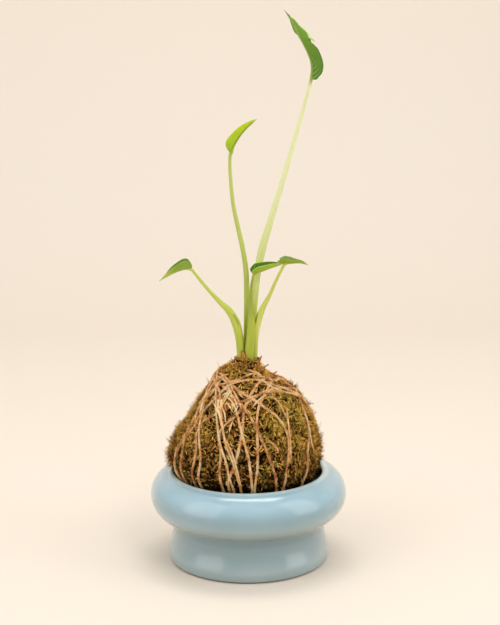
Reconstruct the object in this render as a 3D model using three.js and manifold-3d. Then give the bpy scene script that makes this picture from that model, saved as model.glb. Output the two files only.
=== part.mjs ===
// A moss ball plant: five arrow-shaped leaves on a soil ball that is wrapped in moss and
// jute twine, standing in a round glazed pot. Millimetres, +Z up. The origin is on the floor
// under the middle of the pot, and -Y is the front.
import * as THREE from "three";
import { mergeVertices } from "three/addons/utils/BufferGeometryUtils.js";
import Module from "manifold-3d";

const wasm = await Module();
wasm.setup();

const clearance = 0.3; // left between pieces that touch

// Pot: a fat round rim over a waisted foot, cast with an even wall
const bulgeRadius = 19.8; // round section of the rim
const bulgeReach = 61.2; // from the pot's axis to the middle of that section
const bulgeHeight = 56;
const wall = 4.5;
const lipAngle = 84; // degrees round the section where the wall ends in its lip
const waistRadius = 62.9;
const footRadius = 67;
const footRecess = 5;
const floorHeight = 11.8; // inside the pot
const potSegments = 48;
const bulgeSteps = 9; // facets of the section's arc, outside
const hollowSteps = 5; // and inside
const bendSteps = 2; // of every smaller bend

// Ball: onion-shaped, drawn in where it enters the pot
const ballRadius = 62.2;
const ballWidest = 90;
const ballBottom = 15.2;
const ballTop = 170.5;
const crownRise = 86; // from the widest place to where the onion curve would close
const mouthInset = 7; // how far the ball is drawn in where it enters the pot
const mouthDepth = 22; // and over what depth
const ballLean = 2.3; // how far the crown leans over, to either side
const lowerRoundness = 2.4;
const crownRoundness = 1.9;
const crownFullness = 0.909;
const collarRadius = 11; // moss round the stems
const collarSlope = 0.9; // millimetres out for each one down
const collarDepth = 9;
const mossDepth = 9;
const mossRelief = 2.4; // height of its soft cushions
const mossPress = 0.8; // how far the twine presses it in
const mossLowRows = [18, 25, 38, 56, 70, 77, 84]; // heights of the rows below the widest place
const mossHighRows = 14;
const mossSegments = 50;
const tuftCount = 150;
const tuftLength = 5.5;
const tuftRadius = 1.7;
const tuftRoot = 1.2; // sunk in the moss
const soilSegments = 18;
const soilRows = 8;
const stemHole = 9.4;
const holeFloor = 118;

// Rootstock, standing in the hole under the leaf bases
const rootstockRadius = 8.6;
const rootstockTop = 149.7;

// Twine: each turn is a closed route of [degrees round from the front, height] on the ball
const twineRadius = 1.6; // to the corners of its section
const twineSteps = 32;
const twineSides = 3;
const twineLift = 1.5; // from the moss to the middle of a straight step
const twineTurns = [
  [
    [-8, 30], [-13, 83], [-8, 98], [-5, 121], [-5, 140],
    [13, 156], [70, 160], [130, 135], [155, 85], [172, 30],
  ],
  [
    [-16, 30], [-19, 88], [-20, 107], [-25, 123], [-14, 134], [-3, 143],
    [25, 151], [75, 148], [122, 118], [145, 70], [160, 25],
  ],
  [
    [28, 40], [25, 77], [15, 111], [8, 125], [-2, 137],
    [-22, 147], [-70, 153], [-120, 132], [-150, 85], [-160, 30],
  ],
  [[6, 35], [5, 77], [2, 104], [-4, 120], [-14, 138], [-50, 156], [-110, 146], [-145, 105], [-170, 40]],
  [[8, 40], [7, 78], [9, 99], [8, 130], [10, 140], [30, 153], [90, 157], [138, 128], [165, 80], [178, 30]],
  [
    [33, 40], [32, 76], [32, 91], [35, 105], [36, 118], [30, 131],
    [12, 142], [-20, 152], [-75, 158], [-125, 138], [-150, 60],
  ],
  [
    [52, 40], [54, 80], [55, 100], [62, 115], [74, 138],
    [110, 155], [165, 156], [-160, 125], [-140, 80], [-120, 30],
  ],
  [
    [-46, 40], [-45, 79], [-42, 104], [-50, 120], [-48, 128], [-34, 135],
    [-5, 145], [35, 150], [80, 138], [110, 100], [120, 45],
  ],
  [
    [-38, 35], [-39, 77], [-36, 100], [-46, 118], [-62, 138],
    [-95, 155], [-150, 157], [160, 135], [145, 90], [130, 35],
  ],
  [
    [-60, 40], [-68, 85], [-59, 124], [-45, 146], [-27, 156], [5, 159],
    [39, 156], [65, 148], [92, 118], [105, 75], [100, 35],
  ],
];

// Leaves. A petiole station is [x, y, z, half width across the front, half depth].
// A blade's spine is its midrib. Its face is the way its upper side looks, at the base and the tip.
const petioleSides = 10;
const petioleSteps = 13;
const slitShare = 0.55; // how far a sheath's open edge folds in, of its radius
const bladeThickness = 0.7;
const bladeRows = 10;
const bladeColumns = 3; // on each side of the midrib
const bladeLift = 0.7; // from a spine to the middle of the blade's thickness
const leaves = [
  {
    name: "leaf_1",
    petioleColour: "#d3d68a",
    bladeColour: "#6a8f2c",
    petiole: [
      [2.6, 3.2, 150, 2.6, 2.6], [3.2, 3.6, 176, 2.8, 2.7], [4.6, 4.4, 192, 3, 2.8],
      [6.2, 5, 217.6, 2.8, 2.6], [8.9, 6.3, 240, 2.8, 2.6], [13, 7.8, 260, 3.2, 2.5],
      [18.6, 9.5, 278.4, 2.75, 2.3], [24.8, 11, 298.5, 2.3, 2], [32.2, 13, 322.5, 2.1, 1.8],
      [39.4, 15, 346.3, 1.6, 1.6], [45.7, 16.5, 368.5, 1.5, 1.5], [50.6, 17.5, 386, 1.4, 1.4],
      [52.7, 17.9, 394.3, 1.3, 1.3],
    ],
    spine: [
      [52.8, 18, 394.6], [52.9, 18, 402], [51, 17.5, 411], [46, 16.5, 422],
      [41, 15, 431], [36.8, 12.5, 440.5], [31, 9, 449],
    ],
    face: [[0.95, -0.25, 0], [0.8, -0.4, 0.5]],
    width: 11.2,
    taper: 2.2,
    lobe: 0.6,
    fold: [62, 74],
    curl: [18, -20],
  },
  {
    name: "leaf_2",
    petioleColour: "#b9c060",
    bladeColour: "#a5c413",
    petiole: [
      [-1.6, 3.4, 150, 2.6, 2.4], [-0.9, 3.7, 176, 2.6, 2.5], [-0.3, 3.7, 193, 2.6, 2.4],
      [0, 4, 218, 2.35, 2.2], [-0.6, 6, 242.3, 2.1, 2], [-2.9, 7, 258.6, 2, 1.9],
      [-7.1, 9, 278.7, 1.8, 1.7], [-10.3, 10, 295, 1.6, 1.6], [-11.9, 11, 311, 1.45, 1.4],
      [-12.8, 12, 327, 1.35, 1.35], [-12.4, 12, 335.4, 1.25, 1.25],
    ],
    spine: [
      [-11.6, 12, 335.6], [-9.2, 12, 341], [-4.3, 11, 349.5], [1.5, 9, 356.7], [9.4, 4, 364.3],
    ],
    face: [[-0.95, -0.3, 0.1], [-0.5, -0.3, 0.8]],
    width: 9.6,
    taper: 2,
    lobe: 0,
    wedge: 3.6, // the base runs forward from the petiole instead of back in lobes
    fold: [76, 64],
    curl: [10, 22],
  },
  {
    name: "leaf_3",
    petioleColour: "#b5bd4e",
    bladeColour: "#7f9a2e",
    petiole: [
      [-4.8, -2.2, 150, 2.8, 3.4], [-5.4, -2.6, 176, 3.1, 3.9], [-6.6, -3.4, 190, 3.3, 3.8],
      [-9.1, -4.6, 201, 3.6, 3.1], [-14.2, -6, 211, 2.9, 2.6], [-20.8, -7, 218, 2.1, 2],
      [-28.7, -8.5, 227, 1.45, 1.4], [-36.9, -10, 237.3, 1.3, 1.25], [-43.8, -11.9, 246.9, 1.15, 1.15],
    ],
    slit: { angle: 15, from: 0.34, to: 0.62 },
    spine: [[-43.9, -12, 246.9], [-50.6, -13, 246.4], [-59.4, -15, 243.6], [-69.4, -17, 238]],
    face: [[0.15, -0.2, 1], [-0.4, -0.2, 0.9]],
    width: 10.6,
    taper: 1.15,
    lobe: 0.5,
    fold: [62, 72],
    curl: [14, 4],
  },
  {
    name: "leaf_4",
    petioleColour: "#a8b23a",
    bladeColour: "#3f7a16",
    petiole: [
      [1.8, -4.4, 150, 3.4, 2.4], [1.6, -4.8, 176, 3.8, 2.6], [3.4, -5.2, 190, 4, 2.6],
      [3.6, -5.8, 203, 3.1, 2.3], [3.2, -6, 212, 2, 1.9], [3.1, -6.5, 224, 1.1, 1.2],
      [3.9, -8, 233.5, 1, 1.05], [5.6, -9.9, 241.9, 1, 1],
    ],
    slit: { angle: 95, from: 0.5, to: 0.7 },
    spine: [[5.6, -10, 241.9], [12.4, -8, 243.6], [20.5, -5, 246], [30.2, -1, 248.2]],
    face: [[-0.05, -0.17, 0.98], [0, -0.17, 0.98]],
    width: 8.4,
    taper: 1.9,
    lobe: 0.8,
    fold: [50, 48],
    curl: [8, 12],
  },
  {
    name: "leaf_5",
    petioleColour: "#c4cc58",
    bladeColour: "#6f9a30",
    petiole: [
      [5.6, -0.6, 150, 2.5, 3.2], [5.9, -0.8, 176, 2.5, 3.6], [7, -1.6, 190, 2.4, 3.2],
      [9, -3, 201, 2.7, 2.6], [12.1, -5, 211.5, 2.5, 2.2], [18.4, -8, 224.5, 1.5, 1.5],
      [24, -12, 238, 1.25, 1.25], [29.9, -16.9, 251.2, 1.15, 1.15],
    ],
    slit: { angle: 165, from: 0.4, to: 0.66 },
    spine: [[29.9, -17, 251.2], [36.2, -20, 252.4], [42.4, -22, 253], [48.6, -25, 252]],
    face: [[-0.1, -0.2, 0.98], [0.1, -0.2, 0.98]],
    width: 7.6,
    taper: 1.7,
    lobe: 1.8,
    fold: [56, 50],
    curl: [10, 10],
  },
];

const colours = {
  pot: "#afc9d2",
  soil: "#3b2c1e",
  moss: "#7d6f2c",
  twine: "#d9a877",
  rootstock: "#8a6a44",
  driedSheath: "#b5702a",
};

// Small helpers

const radians = THREE.MathUtils.degToRad;

function smooth(value) {
  return THREE.MathUtils.smoothstep(value, 0, 1);
}

// A seeded draw between 0 and 1
function seededDraw(seed) {
  let state = seed;
  return () => {
    state = (state * 1664525 + 1013904223) % 4294967296;
    return state / 4294967296;
  };
}

function solidOf(geometry) {
  const bare = geometry.clone();
  bare.deleteAttribute("normal");
  bare.deleteAttribute("uv");
  const merged = mergeVertices(bare, 1e-4);
  return new wasm.Manifold(
    new wasm.Mesh({
      numProp: 3,
      vertProperties: new Float32Array(merged.attributes.position.array),
      triVerts: new Uint32Array(merged.index.array),
    }),
  );
}

// The largest body of a solid, as a geometry
function geometryOf(solid) {
  const bodies = solid.decompose();
  bodies.sort((a, b) => b.volume() - a.volume());
  const mesh = bodies[0].getMesh();
  const positions = new Float32Array(mesh.numVert * 3);
  for (let i = 0; i < mesh.numVert; i += 1) {
    const start = i * mesh.numProp;
    positions.set(mesh.vertProperties.subarray(start, start + 3), i * 3);
  }
  const geometry = new THREE.BufferGeometry();
  geometry.setAttribute("position", new THREE.BufferAttribute(positions, 3));
  geometry.setIndex(new THREE.BufferAttribute(mesh.triVerts, 1));
  geometry.computeVertexNormals();
  return geometry;
}

function geometryFrom(points, faces) {
  const geometry = new THREE.BufferGeometry();
  const positions = points.flatMap((point) => point.toArray());
  geometry.setAttribute("position", new THREE.Float32BufferAttribute(positions, 3));
  geometry.setIndex(faces);
  geometry.computeVertexNormals();
  return geometry;
}

// A skin over rings of equal count. An endless one joins its last ring to its first,
// any other is closed by a flat fan at each end.
function skin(rings, endless = false) {
  const count = rings[0].length;
  const faces = [];
  const bands = endless ? rings.length : rings.length - 1;
  for (let i = 0; i < bands; i += 1) {
    const here = i * count;
    const next = ((i + 1) % rings.length) * count;
    for (let j = 0; j < count; j += 1) {
      const k = (j + 1) % count;
      faces.push(here + j, here + k, next + k, here + j, next + k, next + j);
    }
  }
  if (!endless) {
    const end = (rings.length - 1) * count;
    for (let j = 1; j < count - 1; j += 1) {
      faces.push(0, j + 1, j, end, end + j, end + j + 1);
    }
  }
  return geometryFrom(rings.flat(), faces);
}

// A body of revolution from a profile of Vector2(radius, height) that runs from axis to axis
function turned(profile, segments) {
  return new THREE.LatheGeometry(profile, segments).rotateX(Math.PI / 2);
}

function mesh(name, geometry, colour, roughness) {
  const material = new THREE.MeshStandardMaterial({ color: colour, roughness, metalness: 0 });
  const piece = new THREE.Mesh(geometry, material);
  piece.name = name;
  return piece;
}

// Pot

function potProfile() {
  const underAngle = radians(-74);
  const endAngle = radians(lipAngle);
  const lipRadius = wall / 2;
  const wallMiddle = bulgeRadius - lipRadius;
  const path = new THREE.Path();
  path.moveTo(0, footRecess);
  path.lineTo(footRadius - 13, footRecess);
  path.lineTo(footRadius - 10.5, 0.8);
  path.lineTo(footRadius - 9.7, 0);
  path.lineTo(footRadius - 4.4, 0);
  path.quadraticCurveTo(footRadius - 0.8, 0.3, footRadius, 7);
  path.bezierCurveTo(footRadius + 0.3, 12, waistRadius + 0.1, 18, waistRadius, 28);
  path.quadraticCurveTo(
    waistRadius,
    bulgeHeight - bulgeRadius - 0.8,
    bulgeReach + bulgeRadius * Math.cos(underAngle),
    bulgeHeight + bulgeRadius * Math.sin(underAngle),
  );
  path.absarc(bulgeReach, bulgeHeight, bulgeRadius, underAngle, endAngle, false);
  path.absarc(
    bulgeReach + wallMiddle * Math.cos(endAngle),
    bulgeHeight + wallMiddle * Math.sin(endAngle),
    lipRadius,
    endAngle,
    endAngle + Math.PI,
    false,
  );
  path.absarc(bulgeReach, bulgeHeight, bulgeRadius - wall, endAngle, radians(-88), true);
  path.quadraticCurveTo(waistRadius - wall, bulgeHeight - bulgeRadius + wall, waistRadius - wall, 34);
  path.lineTo(waistRadius - wall, 24);
  path.quadraticCurveTo(footRadius - wall - 1.5, floorHeight + 1, footRadius - 12, floorHeight);
  path.lineTo(0, floorHeight);
  return path;
}

function pot() {
  const points = [];
  const path = potProfile();
  const arcSteps = { [bulgeRadius]: bulgeSteps, [bulgeRadius - wall]: hollowSteps };
  for (const curve of path.curves) {
    const steps = curve.type === "LineCurve" ? 1 : (arcSteps[curve.xRadius] ?? bendSteps);
    const piece = curve.getPoints(steps);
    points.push(...(points.length ? piece.slice(1) : piece));
  }
  return mesh("pot", turned(points, potSegments), colours.pot, 0.15);
}

// Ball surface

function surfaceRadius(height) {
  if (height < ballWidest) {
    const drop = Math.min((ballWidest - height) / (ballWidest - ballBottom), 1);
    const inset = mouthInset * smooth((ballWidest - height) / mouthDepth);
    return (ballRadius - inset) * (1 - drop ** lowerRoundness) ** (1 / lowerRoundness);
  }
  const rise = Math.min((height - ballWidest) / crownRise, 1);
  const collar = collarRadius + Math.min(ballTop - height, collarDepth) * collarSlope;
  return Math.max(ballRadius * (1 - rise ** crownRoundness) ** crownFullness, collar);
}

function surfaceLean(height) {
  const wave = THREE.MathUtils.clamp((height - 124) / 72, -1, 1);
  const fade = smooth((174 - height) / 10) * smooth((height - 60) / 20);
  return ballLean * Math.sin(Math.PI * wave) * fade;
}

// The point of the ball's surface at an angle from the front and a height
function surfacePoint(angle, height) {
  const radius = surfaceRadius(height);
  const x = surfaceLean(height) + radius * Math.sin(angle);
  return new THREE.Vector3(x, -radius * Math.cos(angle), height);
}

function surfaceNormal(point) {
  const angle = Math.atan2(point.x - surfaceLean(point.z), -point.y);
  const height = THREE.MathUtils.clamp(point.z, ballBottom + 0.6, ballTop - 2);
  const step = 0.5;
  const rise = surfaceRadius(height + step) - surfaceRadius(height - step);
  return new THREE.Vector3(Math.sin(angle) * 2 * step, -Math.cos(angle) * 2 * step, -rise).normalize();
}

// Slides a point along its ray from the middle of the ball until it lies on the surface
function ontoSurface(point) {
  const middle = new THREE.Vector3(0, 0, ballWidest);
  const ray = point.clone().sub(middle).normalize();
  let low = 0;
  let high = 110;
  for (let i = 0; i < 30; i += 1) {
    const length = (low + high) / 2;
    const probe = middle.clone().addScaledVector(ray, length);
    const across = Math.hypot(probe.x - surfaceLean(probe.z), probe.y);
    const inside = probe.z > ballBottom && probe.z < ballTop && across < surfaceRadius(probe.z);
    if (inside) low = length;
    else high = length;
  }
  return middle.addScaledVector(ray, low);
}

// Twine

function twineRoute(turn) {
  const points = turn.map(([degrees, height]) => surfacePoint(radians(degrees), height));
  const curve = new THREE.CatmullRomCurve3(points, true, "centripetal");
  const route = [];
  for (let i = 0; i < twineSteps; i += 1) {
    const onBall = ontoSurface(curve.getPointAt(i / twineSteps));
    route.push(onBall.clone().addScaledVector(surfaceNormal(onBall), twineLift));
  }
  return route;
}

const twineRoutes = twineTurns.map(twineRoute);

function twineRings(route) {
  return route.map((point, i) => {
    const before = route[(i + route.length - 1) % route.length];
    const after = route[(i + 1) % route.length];
    const along = after.clone().sub(before).normalize();
    const out = surfaceNormal(point);
    out.addScaledVector(along, -out.dot(along)).normalize();
    const side = along.clone().cross(out);
    const ring = [];
    for (let j = 0; j < twineSides; j += 1) {
      const turn = (j / twineSides) * 2 * Math.PI;
      ring.push(
        point
          .clone()
          .addScaledVector(out, twineRadius * Math.cos(turn))
          .addScaledVector(side, twineRadius * Math.sin(turn)),
      );
    }
    return ring;
  });
}

function twine() {
  const turns = twineRoutes.map((route) => solidOf(skin(twineRings(route), true)));
  const joined = turns.reduce((all, turn) => all.add(turn));
  return mesh("twine", geometryOf(joined), colours.twine, 0.9);
}

function distanceToTwine(point) {
  let nearest = Infinity;
  for (const route of twineRoutes) {
    for (let i = 0; i < route.length; i += 1) {
      const line = new THREE.Line3(route[i], route[(i + 1) % route.length]);
      const foot = line.closestPointToPoint(point, true, new THREE.Vector3());
      nearest = Math.min(nearest, foot.distanceTo(point));
    }
  }
  return nearest;
}

// Moss ball

// Heights of the rows of points, from the flattened bottom up to the collar
function mossHeights() {
  const heights = [ballBottom + 0.01, ...mossLowRows];
  for (let row = 0; row < mossHighRows; row += 1) {
    const turn = (row / mossHighRows) * radians(70);
    heights.push(ballWidest + crownRise * Math.sin(turn) ** 1.05);
  }
  return [...heights, ballTop];
}

// Soft cushions of moss, pressed flat along the twine
function mossSwell(point) {
  const lumps =
    0.5 +
    0.2 * Math.sin(point.x * 0.21 + point.z * 0.13) +
    0.2 * Math.sin(point.y * 0.19 - point.z * 0.17 + 1.3) +
    0.1 * Math.sin(point.x * 0.43 - point.y * 0.39 + point.z * 0.31);
  const free = smooth((distanceToTwine(point) - 5.4) / 5);
  const shown = smooth((point.z - 78) / 10);
  return mossRelief * lumps * free * shown - mossPress * (1 - free);
}

function mossBody() {
  const rings = mossHeights().map((height) => {
    const ring = [];
    for (let j = 0; j < mossSegments; j += 1) {
      const point = surfacePoint((j / mossSegments) * 2 * Math.PI, height);
      const swell = height < ballTop ? mossSwell(point) : 0;
      ring.push(point.addScaledVector(surfaceNormal(point), swell));
    }
    return ring;
  });
  return skin(rings);
}

function mossTufts() {
  const draw = seededDraw(7);
  const tufts = [];
  const up = new THREE.Vector3(0, 1, 0);
  const lowest = ballWidest - 6;
  while (tufts.length < tuftCount) {
    const height = lowest + draw() * (ballTop - 4 - lowest);
    const point = surfacePoint(draw() * 2 * Math.PI, height);
    const way = new THREE.Vector3(draw() - 0.5, draw() - 0.5, draw() - 0.2);
    const length = tuftLength * (0.75 + 0.5 * draw());
    const out = surfaceNormal(point).addScaledVector(way, 1.1).normalize();
    const tip = point.clone().addScaledVector(out, length);
    if (distanceToTwine(point) < 5 || distanceToTwine(tip) < 3.5) continue;
    const tuft = new THREE.ConeGeometry(tuftRadius, length, 3, 1);
    tuft.applyQuaternion(new THREE.Quaternion().setFromUnitVectors(up, out));
    const seat = point.addScaledVector(out, length / 2 - tuftRoot);
    tufts.push(tuft.translate(seat.x, seat.y, seat.z));
  }
  return tufts;
}

// The soil's outline, or with a margin the hollow that the moss leaves for it
function soilProfile(margin) {
  const points = [];
  const low = ballBottom + mossDepth - margin;
  const high = ballTop - mossDepth + margin;
  points.push(new THREE.Vector2(0, low));
  for (let row = 0; row <= soilRows; row += 1) {
    const share = Math.sin(((row / soilRows) * 2 - 1) * (Math.PI / 2)) * 0.5 + 0.5;
    const height = low + (high - low) * share;
    const outer = Math.min(surfaceRadius(height - 5), surfaceRadius(height + 5));
    const radius = outer - mossDepth + margin;
    points.push(new THREE.Vector2(Math.max(radius, stemHole + 1), height));
  }
  points.push(new THREE.Vector2(0, high));
  return points;
}

function stemShaft(radius, bottom) {
  const shaft = new THREE.CylinderGeometry(radius, radius, 80, 24);
  return solidOf(shaft.rotateX(Math.PI / 2).translate(0, 0, bottom + 40));
}

function mossBall() {
  const tufted = mossTufts().reduce((all, tuft) => all.add(solidOf(tuft)), solidOf(mossBody()));
  const hollow = solidOf(turned(soilProfile(clearance), soilSegments));
  const shell = tufted.subtract(hollow).subtract(stemShaft(stemHole, holeFloor));
  return mesh("moss_ball", geometryOf(shell), colours.moss, 1);
}

function soilCore() {
  const body = solidOf(turned(soilProfile(0), soilSegments));
  return mesh("soil_core", geometryOf(body.subtract(stemShaft(stemHole, holeFloor))), colours.soil, 1);
}

function rootstock() {
  const bottom = holeFloor + clearance;
  const profile = [
    new THREE.Vector2(0, bottom),
    new THREE.Vector2(rootstockRadius * 0.55, bottom + 1.5),
    new THREE.Vector2(rootstockRadius * 0.9, bottom + 7),
    new THREE.Vector2(rootstockRadius, bottom + 17),
    new THREE.Vector2(rootstockRadius * 0.95, rootstockTop - 4),
    new THREE.Vector2(rootstockRadius * 0.9, rootstockTop),
    new THREE.Vector2(0, rootstockTop),
  ];
  return mesh("rootstock", turned(profile, 16), colours.rootstock, 0.9);
}

// Leaves

// One petiole as a solid, its section grown all round by a margin
function petioleSolid(leaf, margin) {
  const places = leaf.petiole.map(([x, y, z]) => new THREE.Vector3(x, y, z));
  const curve = new THREE.CatmullRomCurve3(places, false, "centripetal");
  const rings = [];
  const front = new THREE.Vector3(0, 1, 0);
  const last = leaf.petiole.length - 1;
  for (let i = 0; i <= petioleSteps; i += 1) {
    const share = i / petioleSteps;
    const along = curve.getTangent(share);
    const across = front.clone().cross(along).normalize();
    const deep = along.clone().cross(across);
    const low = Math.min(Math.floor(share * last), last - 1);
    const blend = share * last - low;
    const halfWidth = THREE.MathUtils.lerp(leaf.petiole[low][3], leaf.petiole[low + 1][3], blend);
    const halfDepth = THREE.MathUtils.lerp(leaf.petiole[low][4], leaf.petiole[low + 1][4], blend);
    const middle = curve.getPoint(share);
    if (margin && i === petioleSteps) middle.addScaledVector(along, margin);
    const ring = [];
    for (let j = 0; j < petioleSides; j += 1) {
      const turn = (j / petioleSides) * 2 * Math.PI;
      const open = margin ? 0 : slitDepth(leaf.slit, share, turn);
      ring.push(
        middle
          .clone()
          .addScaledVector(across, (halfWidth + margin) * (1 - open) * Math.cos(turn))
          .addScaledVector(deep, (halfDepth + margin) * (1 - open) * Math.sin(turn)),
      );
    }
    rings.push(ring);
  }
  return solidOf(skin(rings));
}

// How far the open edge of a leaf's sheath folds in at a place on the petiole
function slitDepth(slit, share, turn) {
  if (!slit || share < slit.from || share > slit.to) return 0;
  const away = turn - radians(slit.angle);
  const off = Math.abs(Math.atan2(Math.sin(away), Math.cos(away)));
  return off < Math.PI / petioleSides ? slitShare : 0;
}

// Petioles nest at the foot: an outer sheath keeps its shape and the ones inside give way
function petioles() {
  const outerFirst = [2, 3, 4, 1, 0];
  return outerFirst.map((index, order) => {
    const leaf = leaves[index];
    const outside = outerFirst.slice(0, order).map((other) => petioleSolid(leaves[other], clearance));
    const shape = outside.reduce((rest, other) => rest.subtract(other), petioleSolid(leaf, 0));
    return mesh(leaf.name + "_petiole", geometryOf(shape), leaf.petioleColour, 0.5);
  });
}

// Half width of a blade along its midrib, as a share of its greatest
function bladeShape(share, taper) {
  const foot = 0.6 + 0.4 * Math.sin((Math.PI / 2) * Math.min(1, share / 0.22));
  return foot * (1 - share ** taper);
}

// A side of a blade bends up from the midrib by its fold and then curls along an arc
function bladeSection(arc, fold, curl) {
  if (Math.abs(curl) < 1e-3) return { out: arc * Math.cos(fold), up: arc * Math.sin(fold), tilt: fold };
  const tilt = fold + curl;
  return {
    out: (arc * (Math.sin(tilt) - Math.sin(fold))) / curl,
    up: (arc * (Math.cos(fold) - Math.cos(tilt))) / curl,
    tilt,
  };
}

// Rows of points on the upper and the lower side of a blade
function bladeGrids(leaf) {
  const curve = new THREE.CatmullRomCurve3(
    leaf.spine.map((place) => new THREE.Vector3(...place)),
    false,
    "centripetal",
  );
  const faces = leaf.face.map((way) => new THREE.Vector3(...way));
  const upper = [];
  const lower = [];
  for (let i = 0; i <= bladeRows; i += 1) {
    const share = i / bladeRows;
    const along = curve.getTangentAt(share);
    const face = faces[0].clone().lerp(faces[1], share);
    face.addScaledVector(along, -face.dot(along)).normalize();
    const side = along.clone().cross(face);
    const half = Math.max(leaf.width * bladeShape(share, leaf.taper), 0.5);
    const flatten = Math.min(1, half / 3);
    const rows = [[], []];
    for (let j = -bladeColumns; j <= bladeColumns; j += 1) {
      const reach = Math.abs(j) / bladeColumns;
      const hand = j < 0 ? 0 : 1;
      const fold = j === 0 ? 0 : radians(leaf.fold[hand]) * flatten;
      const curl = radians(leaf.curl[hand]) * reach * flatten;
      const bend = bladeSection(half * reach, fold, curl);
      const lobe = leaf.lobe * Math.sin(Math.PI * reach * 0.9) - (leaf.wedge ?? 0) * reach;
      const back = lobe * (1 - share) ** 2;
      const place = curve
        .getPointAt(share)
        .addScaledVector(face, bladeLift + bend.up)
        .addScaledVector(side, Math.sign(j) * bend.out)
        .addScaledVector(along, -back);
      const normal = face
        .clone()
        .multiplyScalar(Math.cos(bend.tilt))
        .addScaledVector(side, -Math.sign(j) * Math.sin(bend.tilt));
      const keel = j === 0 ? 0.5 * flatten * smooth(share / 0.3) : 0;
      rows[0].push(place.clone().addScaledVector(normal, bladeThickness / 2));
      rows[1].push(place.clone().addScaledVector(normal, -bladeThickness / 2 - keel));
    }
    upper.push(rows[0]);
    lower.push(rows[1]);
  }
  return { upper, lower };
}

// A closed sheet between two like grids, split into triangles alike on both
function sheet(upper, lower) {
  const rows = upper.length;
  const columns = upper[0].length;
  const faces = [];
  const top = (i, j) => i * columns + j;
  const under = (i, j) => rows * columns + i * columns + j;
  const quad = (a, b, c, d) => faces.push(a, c, b, a, d, c);
  for (let i = 0; i < rows - 1; i += 1) {
    for (let j = 0; j < columns - 1; j += 1) {
      quad(top(i, j), top(i + 1, j), top(i + 1, j + 1), top(i, j + 1));
      quad(under(i, j), under(i, j + 1), under(i + 1, j + 1), under(i + 1, j));
    }
  }
  for (let i = 0; i < rows - 1; i += 1) {
    quad(top(i, 0), under(i, 0), under(i + 1, 0), top(i + 1, 0));
    quad(top(i + 1, columns - 1), under(i + 1, columns - 1), under(i, columns - 1), top(i, columns - 1));
  }
  for (let j = 0; j < columns - 1; j += 1) {
    quad(top(0, j + 1), under(0, j + 1), under(0, j), top(0, j));
    quad(top(rows - 1, j), under(rows - 1, j), under(rows - 1, j + 1), top(rows - 1, j + 1));
  }
  return geometryFrom([...upper.flat(), ...lower.flat()], faces);
}

function blades() {
  return leaves.map((leaf) => {
    const { upper, lower } = bladeGrids(leaf);
    return mesh(leaf.name + "_blade", sheet(upper, lower), leaf.bladeColour, 0.4);
  });
}

// Dry papery scrap of an old sheath, standing against the front of the stems
function driedSheath() {
  const rows = 5;
  const columns = 4;
  const foot = new THREE.Vector3(-2.6, -8.6, ballTop + clearance);
  const height = 10;
  const halfWidth = 3.2;
  const upper = [];
  const lower = [];
  for (let i = 0; i <= rows; i += 1) {
    const share = i / rows;
    const half = halfWidth * (1 - 0.85 * share ** 1.4);
    const rowUpper = [];
    const rowLower = [];
    for (let j = 0; j <= columns; j += 1) {
      const reach = (j / columns) * 2 - 1;
      const place = foot.clone();
      place.x += half * reach - 1.5 * share;
      place.y += 0.7 * reach * reach - 0.4 * Math.sin(Math.PI * share);
      place.z += height * share;
      rowUpper.push(place.clone().add(new THREE.Vector3(0, -bladeThickness / 2, 0)));
      rowLower.push(place.add(new THREE.Vector3(0, bladeThickness / 2, 0)));
    }
    upper.push(rowUpper);
    lower.push(rowLower);
  }
  return mesh("dried_sheath", sheet(upper, lower), colours.driedSheath, 0.8);
}

const kokedama = new THREE.Group();
kokedama.add(pot(), soilCore(), rootstock(), mossBall(), twine(), ...petioles(), ...blades(), driedSheath());

export default kokedama;
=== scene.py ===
# Looks for the moss ball plant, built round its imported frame.
# Shapes are worked out in millimetres, +Z up and -Y to the front. newPiece turns them to metres.
import math

import bmesh
import bpy
import numpy as np
from mathutils import Matrix, Vector, noise


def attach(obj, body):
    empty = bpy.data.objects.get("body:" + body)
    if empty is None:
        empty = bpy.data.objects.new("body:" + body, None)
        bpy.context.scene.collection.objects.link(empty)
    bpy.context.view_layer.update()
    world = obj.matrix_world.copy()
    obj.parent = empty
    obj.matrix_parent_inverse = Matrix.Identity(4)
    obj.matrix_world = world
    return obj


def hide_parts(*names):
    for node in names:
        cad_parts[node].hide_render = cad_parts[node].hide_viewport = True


noise.seed_set(4)  # without it noise_vector starts from the clock and the moss differs on each run

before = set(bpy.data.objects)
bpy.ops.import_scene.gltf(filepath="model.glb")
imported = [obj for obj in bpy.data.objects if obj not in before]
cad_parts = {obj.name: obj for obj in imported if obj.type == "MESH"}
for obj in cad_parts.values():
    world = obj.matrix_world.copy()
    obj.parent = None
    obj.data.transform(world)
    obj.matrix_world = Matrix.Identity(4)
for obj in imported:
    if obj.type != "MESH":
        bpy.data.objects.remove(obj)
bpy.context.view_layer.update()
print("frame loaded:", len(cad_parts), "nodes")

mm = 0.001


# Numbers

def smooth(value):
    value = np.clip(value, 0, 1)
    return value * value * (3 - 2 * value)


def unit(vectors):
    return vectors / np.maximum(np.linalg.norm(vectors, axis=-1, keepdims=True), 1e-9)


def squareTo(vectors, way):
    # what is left of each vector across a way
    return vectors - way * (vectors * way).sum(1, keepdims=True)


def aroundRing(count):
    return np.arange(count) / count * 2 * math.pi


def placesAlong(path):
    # how far along the path each of its points lies
    return np.concatenate([[0], np.cumsum(np.linalg.norm(np.diff(path, axis=0), axis=1))])


def waysAlong(path):
    return unit(np.gradient(path, axis=0))


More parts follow.
